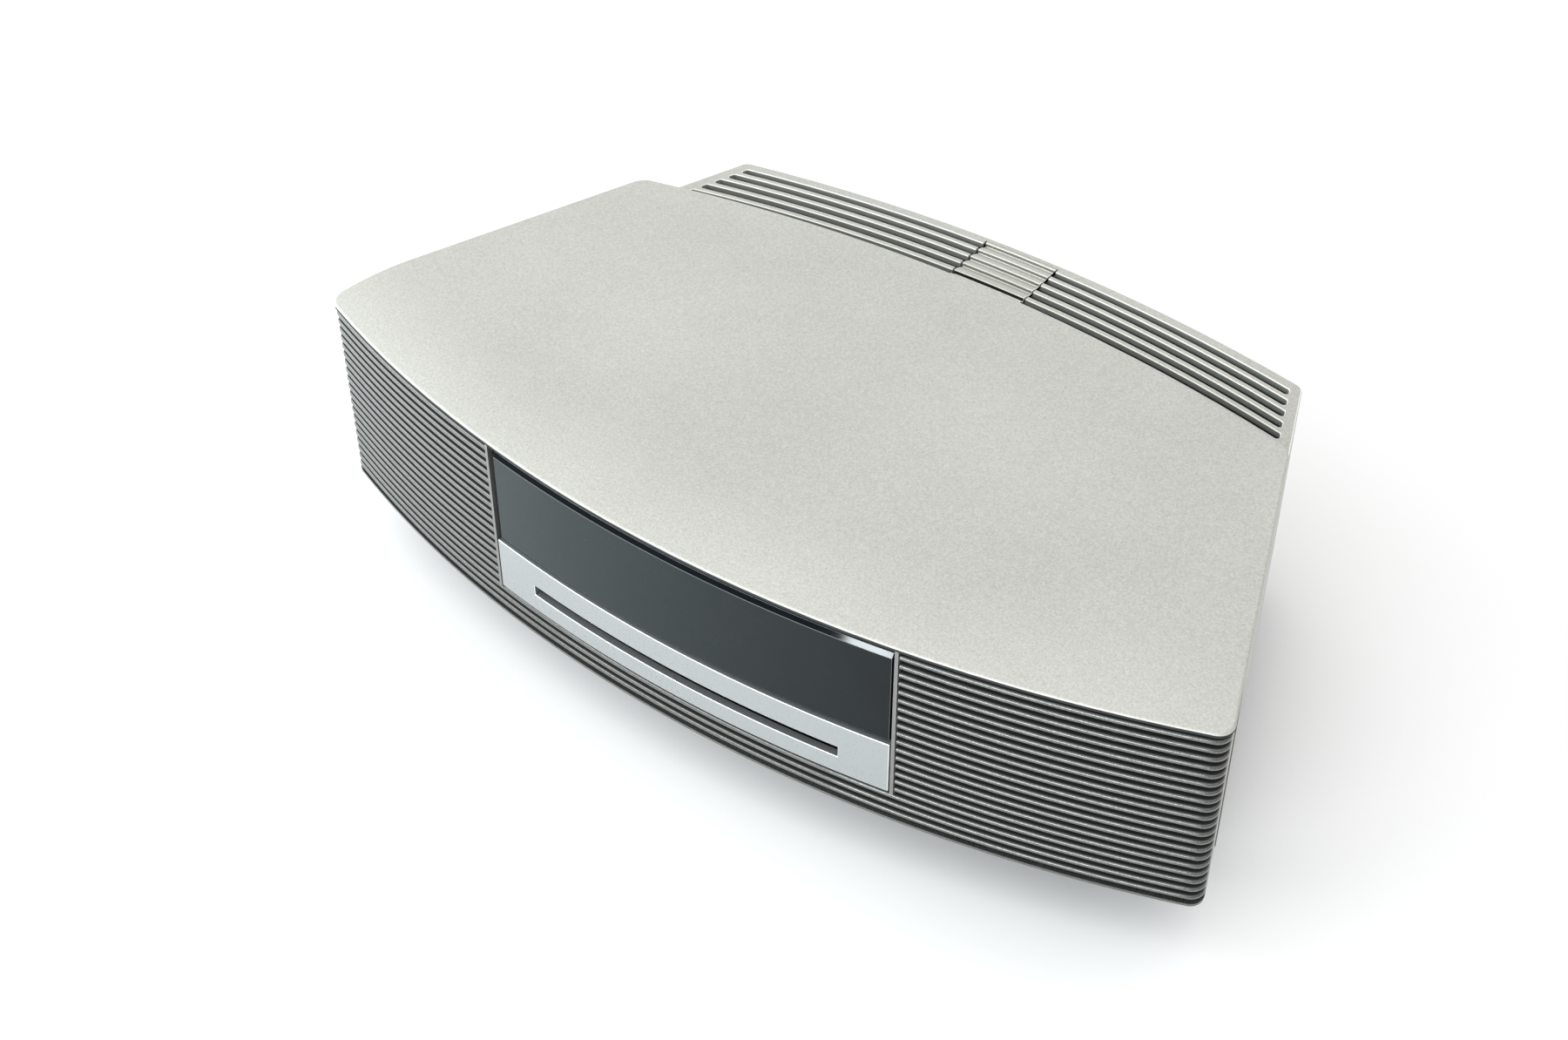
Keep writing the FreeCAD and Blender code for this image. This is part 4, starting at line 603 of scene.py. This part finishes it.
class Mould:
    """Points and faces of one piece, gathered in millimetres."""

    def __init__(self):
        self.points = []
        self.faces = []
        self.finishes = []

    def add(self, face, finish=0):
        self.faces.append(face)
        self.finishes.append(finish)

    def sweep(self, section, route, finish_of=lambda strip: 0):
        """Closed section of (inset or radius, height) pairs along a route, each strip with its own finish."""
        columns = [[(x, y, z) for x, y in route(inset)] for inset, z in section]
        size, length = len(section), len(columns[0])
        start = len(self.points)
        self.points += [column[k] for k in range(length) for column in columns]
        for near in range(start, start + (length - 1) * size, size):
            far = near + size
            for j in range(size):
                after = (j + 1) % size
                self.add((near + j, near + after, far + after, far + j), finish_of(j))
        self.add(tuple(range(start + size - 1, start - 1, -1)))
        self.add(tuple(range(start + (length - 1) * size, start + length * size)))

    def cast(self, name, materials, replaced, sharp=35, bevel=0.0, edge_finish=-1):
        """Makes the piece in place of its CAD node, with smooth faces and softened edges."""
        mesh = bpy.data.meshes.new(name)
        mesh.from_pydata([tuple(c * MM for c in point) for point in self.points], [], self.faces)
        mesh.polygons.foreach_set("material_index", self.finishes)
        for material in materials:
            mesh.materials.append(material)
        form = bmesh.new()
        form.from_mesh(mesh)
        bmesh.ops.remove_doubles(form, verts=form.verts, dist=SAME_POINT)
        bmesh.ops.recalc_face_normals(form, faces=form.faces)
        form.to_mesh(mesh)
        form.free()
        mesh.shade_smooth()
        mesh.set_sharp_from_angle(angle=math.radians(sharp))
        piece = bpy.data.objects.new(name, mesh)
        bpy.context.collection.objects.link(piece)
        if bevel:
            edge = piece.modifiers.new("edge", "BEVEL")
            edge.width = bevel * MM
            edge.segments = EDGE_STEPS
            edge.limit_method = "ANGLE"
            edge.angle_limit = math.radians(sharp)
            edge.harden_normals = True
            edge.material = edge_finish
        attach(piece, "case")
        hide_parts(replaced)


# Ribbed grille

GRILLE_BOTTOM = 22.2
RIM_HEIGHT = 1.0
RIM_BACK = 4.0
RIB_PITCH = 3.73
RIB_HALF = 1.075
RIB_INSET = 0.35
RIB_DEPTH = 2.25
RIB_COUNT = 20
RIBS_UNDER_PANEL = 3
NOSE_STEPS = 16
PAINTED_SHARE = 0.42
OPENING_HALF = 85.4
WEB_INSETS = (2.2, 3.4)
WEB_WIDTH = 1.8
WEB_PITCH = 17.0
WEB_STEPS = 24
FIRST_WEB_X = 100.0
OPENING_WEB_WIDTH = 5.0
END_POST_LENGTH = 3.0
FIRST_RIB = GRILLE_BOTTOM + RIM_HEIGHT + RIB_PITCH - RIB_HALF
GRILLE_TOP = GRILLE_BOTTOM + RIM_HEIGHT + RIB_COUNT * RIB_PITCH + RIB_PITCH - 2 * RIB_HALF
OPENING_BOTTOM = GRILLE_BOTTOM + RIM_HEIGHT + RIBS_UNDER_PANEL * RIB_PITCH


def rib_section(z):
    """Round nose and flat back of a rib."""
    section = []
    for angle in spaced(math.pi / 2, -math.pi / 2, NOSE_STEPS):
        section.append((RIB_INSET + RIB_HALF * (1 - math.cos(angle)), z + RIB_HALF * math.sin(angle)))
    return section + [(RIB_INSET + RIB_DEPTH, z - RIB_HALF), (RIB_INSET + RIB_DEPTH, z + RIB_HALF)]


def painted(strip):
    """Lacquer, finish 0, on the front of a rib's nose, and shade, finish 1, on the rest of it."""
    middle = math.pi / 2 - math.pi * (strip + 0.5) / NOSE_STEPS
    return 0 if strip < NOSE_STEPS and 1 - math.cos(middle) < PAINTED_SHARE else 1


def shaded(strip):
    return 1


def web_spans():
    """Spans in x of the upright webs behind the ribs."""
    spans = [(OPENING_HALF, OPENING_HALF + OPENING_WEB_WIDTH)]
    x = FIRST_WEB_X
    while x < CORNER_X - WEB_WIDTH:
        spans.append((x, x + WEB_WIDTH))
        x += WEB_PITCH
    return spans + [(-last, -first) for first, last in spans]


def end_post_route(inset):
    """The last millimetres of the straight side."""
    (x0, y0), (x1, y1) = round_side(inset, 0.0)[-2:]
    share = END_POST_LENGTH / (y1 - y0)
    return [(x1 + (x0 - x1) * share, y1 + (y0 - y1) * share), (x1, y1)]


def make_grille(lacquer, shade):
    """Ribs, those over the third on each side of the opening only, on a bottom rim, webs and end posts."""
    grille = Mould()
    beside = side_route(OPENING_HALF)
    for index in range(RIB_COUNT):
        section = rib_section(FIRST_RIB + index * RIB_PITCH)
        for route in [whole_route] if index < RIBS_UNDER_PANEL else [beside, mirrored_route(beside)]:
            grille.sweep(section, route, painted)
    grille.sweep(box_section((RIB_INSET, RIM_BACK), (GRILLE_BOTTOM, GRILLE_BOTTOM + RIM_HEIGHT)), whole_route)
    tall = box_section(WEB_INSETS, (GRILLE_BOTTOM, GRILLE_TOP))
    for first, last in web_spans():
        grille.sweep(tall, front_route(first, last, WEB_STEPS), shaded)
    low = box_section(WEB_INSETS, (GRILLE_BOTTOM, OPENING_BOTTOM))
    grille.sweep(low, front_route(-OPENING_HALF, OPENING_HALF, WEB_STEPS), shaded)
    for route in (end_post_route, mirrored_route(end_post_route)):
        grille.sweep(tall, route, shaded)
    grille.cast("ribbed_grille", [lacquer, shade], "front_grille", sharp=50)


# Pieces in the opening

TRIM_FACE = (83.9, 85.1)
TRIM_INSETS = (0.1, 3.4)
LENS_HALF = 82.4
LENS_INSETS = (1.2, 3.6)
LENS_HEIGHTS = (58.2, 96.5)
LENS_BEVEL = (1.0, 1.9)
POLISHED_STRIPS = (1, 2)
PANEL_HALF = 83.3
PANEL_INSETS = (0.1, 3.2)
PANEL_HEIGHTS = (35.54, 57.3)
PANEL_END_STEPS = 6
SLOT_HALF = 65.0
SLOT_HEIGHTS = (42.8, 47.2)
SLOT_ROW = 1
SLOT_STEPS = 64
BAR_STEPS = 64


def front_bar(name, section, span, materials, replaced, bevel, sharp=35, finish_of=lambda strip: 0):
    """Bar or pane that follows the curved front. Its last material is on the softened edges."""
    bar = Mould()
    bar.sweep(section, front_route(*span, BAR_STEPS), finish_of)
    bar.cast(name, materials, replaced, sharp, bevel, edge_finish=len(materials) - 1)


def make_trims(trim, edge_painted_highlight):
    section = box_section(TRIM_INSETS, (OPENING_BOTTOM, GRILLE_TOP))
    first, last = TRIM_FACE
    for side, span in (("left", (-last, -first)), ("right", (first, last))):
        front_bar("trim_strip_" + side, section, span, [trim, edge_painted_highlight], "trim_bar_" + side,
                  bevel=0.25)


def make_window(window, polished, edge):
    """Tinted pane, whose top bevel and top face are ground and polished."""
    (near, far), (low, high) = LENS_INSETS, LENS_HEIGHTS
    back, drop = LENS_BEVEL
    section = [(near, low), (near, high - drop), (near + back, high), (far, high), (far, low)]
    front_bar("display_pane", section, (-LENS_HALF, LENS_HALF), [window, polished, edge],
              "display_lens", bevel=0.12, sharp=20, finish_of=lambda strip: int(strip in POLISHED_STRIPS))


def make_slot_panel(lacquer, edge_painted_highlight):
    """Curved panel with the disc slot, as a grid of cells with the slot's cells left out."""
    panel = Mould()
    across = spaced(-PANEL_HALF, -SLOT_HALF, PANEL_END_STEPS)[:-1]
    across += spaced(-SLOT_HALF, SLOT_HALF, SLOT_STEPS)
    across += spaced(SLOT_HALF, PANEL_HALF, PANEL_END_STEPS)[1:]
    levels = [PANEL_HEIGHTS[0], *SLOT_HEIGHTS, PANEL_HEIGHTS[1]]
    for inset in PANEL_INSETS:
        for x in across:
            y = FRONT_CENTRE_Y - math.sqrt((FRONT_RADIUS - inset) ** 2 - x ** 2)
            panel.points += [(x, y, z) for z in levels]
    rows, layer = len(levels), len(levels) * len(across)
    columns = range(len(across) - 1)
    cells = {(k, j) for k in columns for j in range(rows - 1)}
    cells -= {(k, SLOT_ROW) for k in columns if abs(across[k] + across[k + 1]) < 2 * SLOT_HALF}
    for k, j in sorted(cells):
        a, b = k * rows + j, (k + 1) * rows + j
        panel.add((a, b, b + 1, a + 1))
        panel.add((a + layer, a + 1 + layer, b + 1 + layer, b + layer))
        borders = {(-1, 0): (a, a + 1), (1, 0): (b, b + 1), (0, -1): (a, b), (0, 1): (a + 1, b + 1)}
        for (right, up), (p, q) in borders.items():
            if (k + right, j + up) not in cells:
                panel.add((p, q, q + layer, p + layer))
    panel.cast("slot_panel", [lacquer, edge_painted_highlight], "slot_fascia", bevel=0.3, edge_finish=1)


# Stepped bridge between the louvres

LOUVRE_RADIUS = 582.25
LOUVRE_PITCH = 5.35
LOUVRE_COUNT = 5
BRIDGE_HALF = 15.4
BRIDGE_SEAT = 2.2
BRIDGE_GAP = 0.3
BRIDGE_STEPS = 24
RIDGE_HALF = 0.55
STEP_RUN = 0.25
STEP_DROP = 1.6
GROOVE_WIDTH = 2.2
GROOVE_DEPTH = 1.9
LAST_RIDGE_EXTRA = 0.4


def make_bridge(land, shade, bright, riser):
    """Ridges in line with the bars, a groove in line with the last slot, and a plain land by the lid. The
    risers take a darker copy of the lacquer as painted shade, and the bevelled edges a brighter copy as a
    painted highlight.

    Each strip is the radius and height of its first point, and its finish.
    """
    on_land, on_shade, on_edge_highlight, on_riser = range(4)
    low, floor, foot = DECK_TOP - BRIDGE_SEAT, DECK_TOP - GROOVE_DEPTH, DECK_TOP - STEP_DROP
    ridges = [LOUVRE_RADIUS + LOUVRE_PITCH * (0.5 - k) for k in range(LOUVRE_COUNT)]
    strips = [(ridges[0] + RIDGE_HALF, low, on_land), (ridges[0] + RIDGE_HALF, DECK_TOP, on_land)]
    # The risers get the darker copy of the lacquer, which is painted shade.
    for ridge in ridges[:-1]:
        strips += [(ridge - RIDGE_HALF, DECK_TOP, on_riser),
                   (ridge - RIDGE_HALF - STEP_RUN, foot, on_land),
                   (ridge - LOUVRE_PITCH + RIDGE_HALF, DECK_TOP, on_land)]
    rear = ridges[-1] - RIDGE_HALF - LAST_RIDGE_EXTRA
    front = rear - GROOVE_WIDTH
    strips += [(rear, DECK_TOP, on_shade), (rear, floor, on_shade), (front, floor, on_shade)]
    strips += [(front, DECK_TOP, on_land)]
    strips += [(LID_REAR_RADIUS + BRIDGE_GAP, z, on_land) for z in (DECK_TOP, low)]
    bridge = Mould()
    section = [(radius, z) for radius, z, finish in strips]
    bridge.sweep(section, lambda radius: rear_arc(radius, BRIDGE_HALF, BRIDGE_STEPS),
                 lambda strip: strips[strip][2])
    bridge.cast("stepped_bridge", [land, shade, bright, riser], "vent_bridge", bevel=0.3,
                edge_finish=on_edge_highlight)


def dress(material, *nodes):
    """Gives CAD nodes a material on every slot."""
    for name in nodes:
        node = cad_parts[name]
        node.data.materials.clear()
        node.data.materials.append(material)


def sided(name):
    return [name + "_left", name + "_right"]


# Studio

add_camera()
add_floor()
add_studio()
add_softbox("left_softbox", azimuth=-68, elevation=22, distance=0.9, width=0.62, height=0.62, power=3.6)
add_softbox("middle_softbox", azimuth=-27, elevation=20, distance=1.2, width=0.62, height=0.25, power=3.6)
add_softbox("front_softbox", azimuth=9, elevation=8.5, distance=1.3, width=0.80, height=0.22, power=10.4)
add_softbox("window_glint", azimuth=-6, elevation=8.8, distance=1.3, width=0.11, height=0.05, power=0.55)
bpy.context.scene.view_settings.view_transform = "Standard"


# Outside of the case

COVER_SILVER = (0.495, 0.493, 0.459)
# The next two factors brighten and darken copies of the cover's silver: a painted highlight on the bridge's
# bevelled edges and painted shade on its risers.
RIDGE_PAINTED_HIGHLIGHT = 1.75
RISER_SHADE = 0.55
RIB_SILVER = (0.097, 0.101, 0.095)
PANEL_SILVER = (0.388, 0.404, 0.412)
TRIM_SILVER = (0.22, 0.22, 0.21)
# Pale silver for the softened edges of the slot panel and trims, a painted highlight along them.
EDGE_HIGHLIGHT_SILVER = (0.80, 0.82, 0.83)
WINDOW_EDGE_GREY = (0.10, 0.115, 0.12)

dress(cover_lacquer("cover_lacquer", COVER_SILVER, metallic=0.35, roughness=0.45, speckle=0.20), "top_cover")
shade = moulded_plastic("groove_shade", (0.016, 0.0155, 0.0145), roughness=0.7)
# The bridge's brighter lacquer is a painted highlight on its bevelled edges, and its darker lacquer is
# painted shade on its risers.
make_bridge(silver_paint("bridge_lacquer", COVER_SILVER, metallic=0.35, roughness=0.45, speckle=0.14), shade,
            silver_paint("bridge_edge_painted_highlight", shifted(COVER_SILVER, RIDGE_PAINTED_HIGHLIGHT), metallic=0.35, roughness=0.35,
                         speckle=0.06),
            silver_paint("riser_painted_shade", shifted(COVER_SILVER, RISER_SHADE), metallic=0.35, roughness=0.5,
                         speckle=0.06))
make_grille(silver_paint("rib_lacquer", RIB_SILVER, metallic=0.5, roughness=0.26, speckle=0.3,
                         coat=1.0, coat_roughness=0.08), shade)
# The pale edge silver is a painted highlight on the bevelled edges of the slot panel and trims.
edge_painted_highlight = silver_paint("edge_painted_highlight", EDGE_HIGHLIGHT_SILVER, metallic=0.9, roughness=0.22, speckle=0.03, peel=0.00002)
make_slot_panel(silver_paint("panel_lacquer", PANEL_SILVER, metallic=0.65, roughness=0.30, speckle=0.03,
                             peel=0.00002), edge_painted_highlight)
make_trims(silver_paint("trim_lacquer", TRIM_SILVER, metallic=0.6, roughness=0.34, speckle=0.06), edge_painted_highlight)
make_window(smoked_window(), polished_edge(), coated_glass("window_edge", WINDOW_EDGE_GREY, roughness=0.12))
dress(gloss_black(), "display_bezel")
dress(acoustic_cloth(), *sided("grille_screen"), *sided("vent_screen"))
dress(moulded_plastic("tray_plastic", (0.045, 0.045, 0.048), roughness=0.6), "base_tray", "rear_panel")
dress(soft_rubber("foot_rubber", (0.016, 0.016, 0.016)), "rubber_feet", "dampers", *sided("surround"))


# Sockets in the rear wall

LINE_JACKS_X = 44.0
AERIAL_JACKS_X = -27.0
NYLON_WHITE = (0.70, 0.69, 0.66)
NYLON_RED = (0.42, 0.012, 0.012)
NYLON_BLACK = (0.03, 0.03, 0.03)

dress(moulded_plastic("socket_plastic", (0.022, 0.022, 0.023), roughness=0.4), "headphone_jack", "link_port",
      "power_inlet", "remote_receiver")
dress(phono_metal("line_nickel", LINE_JACKS_X, NYLON_WHITE, NYLON_RED), "line_jacks")
dress(phono_metal("aerial_nickel", AERIAL_JACKS_X, NYLON_BLACK, NYLON_WHITE), "aerial_jacks")


# Inside of the case

dress(moulded_plastic("duct_plastic", (0.05, 0.05, 0.052), roughness=0.5, grain_size=0.001),
      *sided("waveguide"))
dress(moulded_plastic("black_plastic", (0.03, 0.03, 0.032), roughness=0.42), "clamp_puck", "turntable")
dress(moulded_plastic("white_acetal", (0.78, 0.78, 0.74), roughness=0.35), "idler_gear", "roller_gear")
dress(soft_rubber("roller_rubber", (0.03, 0.03, 0.03)), "load_roller")
dress(sheet_steel("plated_steel", (0.62, 0.62, 0.60)), "case_screws", "mech_chassis", "top_plate",
      "lift_plate", "roller_bracket", "load_motor", "sled_motor", "spindle_motor")
dress(sheet_steel("tin_plate", (0.66, 0.66, 0.65), roughness=0.28), "tuner_shield")
dress(sheet_steel("drawn_aluminium", (0.72, 0.72, 0.73), roughness=0.38, stretch=(1, 30, 30)), "heat_sink")
dress(sheet_steel("cast_alloy", (0.50, 0.50, 0.51), roughness=0.45, stretch=(3, 3, 3)), "laser_sled")
dress(turned_metal("ground_shaft", (0.74, 0.74, 0.75), roughness=0.14), "guide_rods", "lead_screw",
      "roller_shaft")
dress(turned_metal("cut_brass", (0.72, 0.53, 0.24), roughness=0.25), "motor_pinion", "inlet_pins")
dress(sintered_iron("ferrite", (0.05, 0.05, 0.055)), *sided("speaker_magnet"))
dress(sintered_iron("core_iron", (0.10, 0.10, 0.105)), "transformer")
dress(silver_paint("basket_enamel", (0.035, 0.035, 0.037), metallic=0.2, roughness=0.4),
      *sided("speaker_frame"))
dress(cone_paper(), *sided("speaker_cone"))
dress(circuit_board(), "main_board", "power_board", "display_board")
dress(coated_glass("tube_glass", (0.02, 0.035, 0.035), roughness=0.06), "display_tube")
dress(coated_glass("pickup_lens", (0.16, 0.22, 0.42), roughness=0.03), "objective_lens")
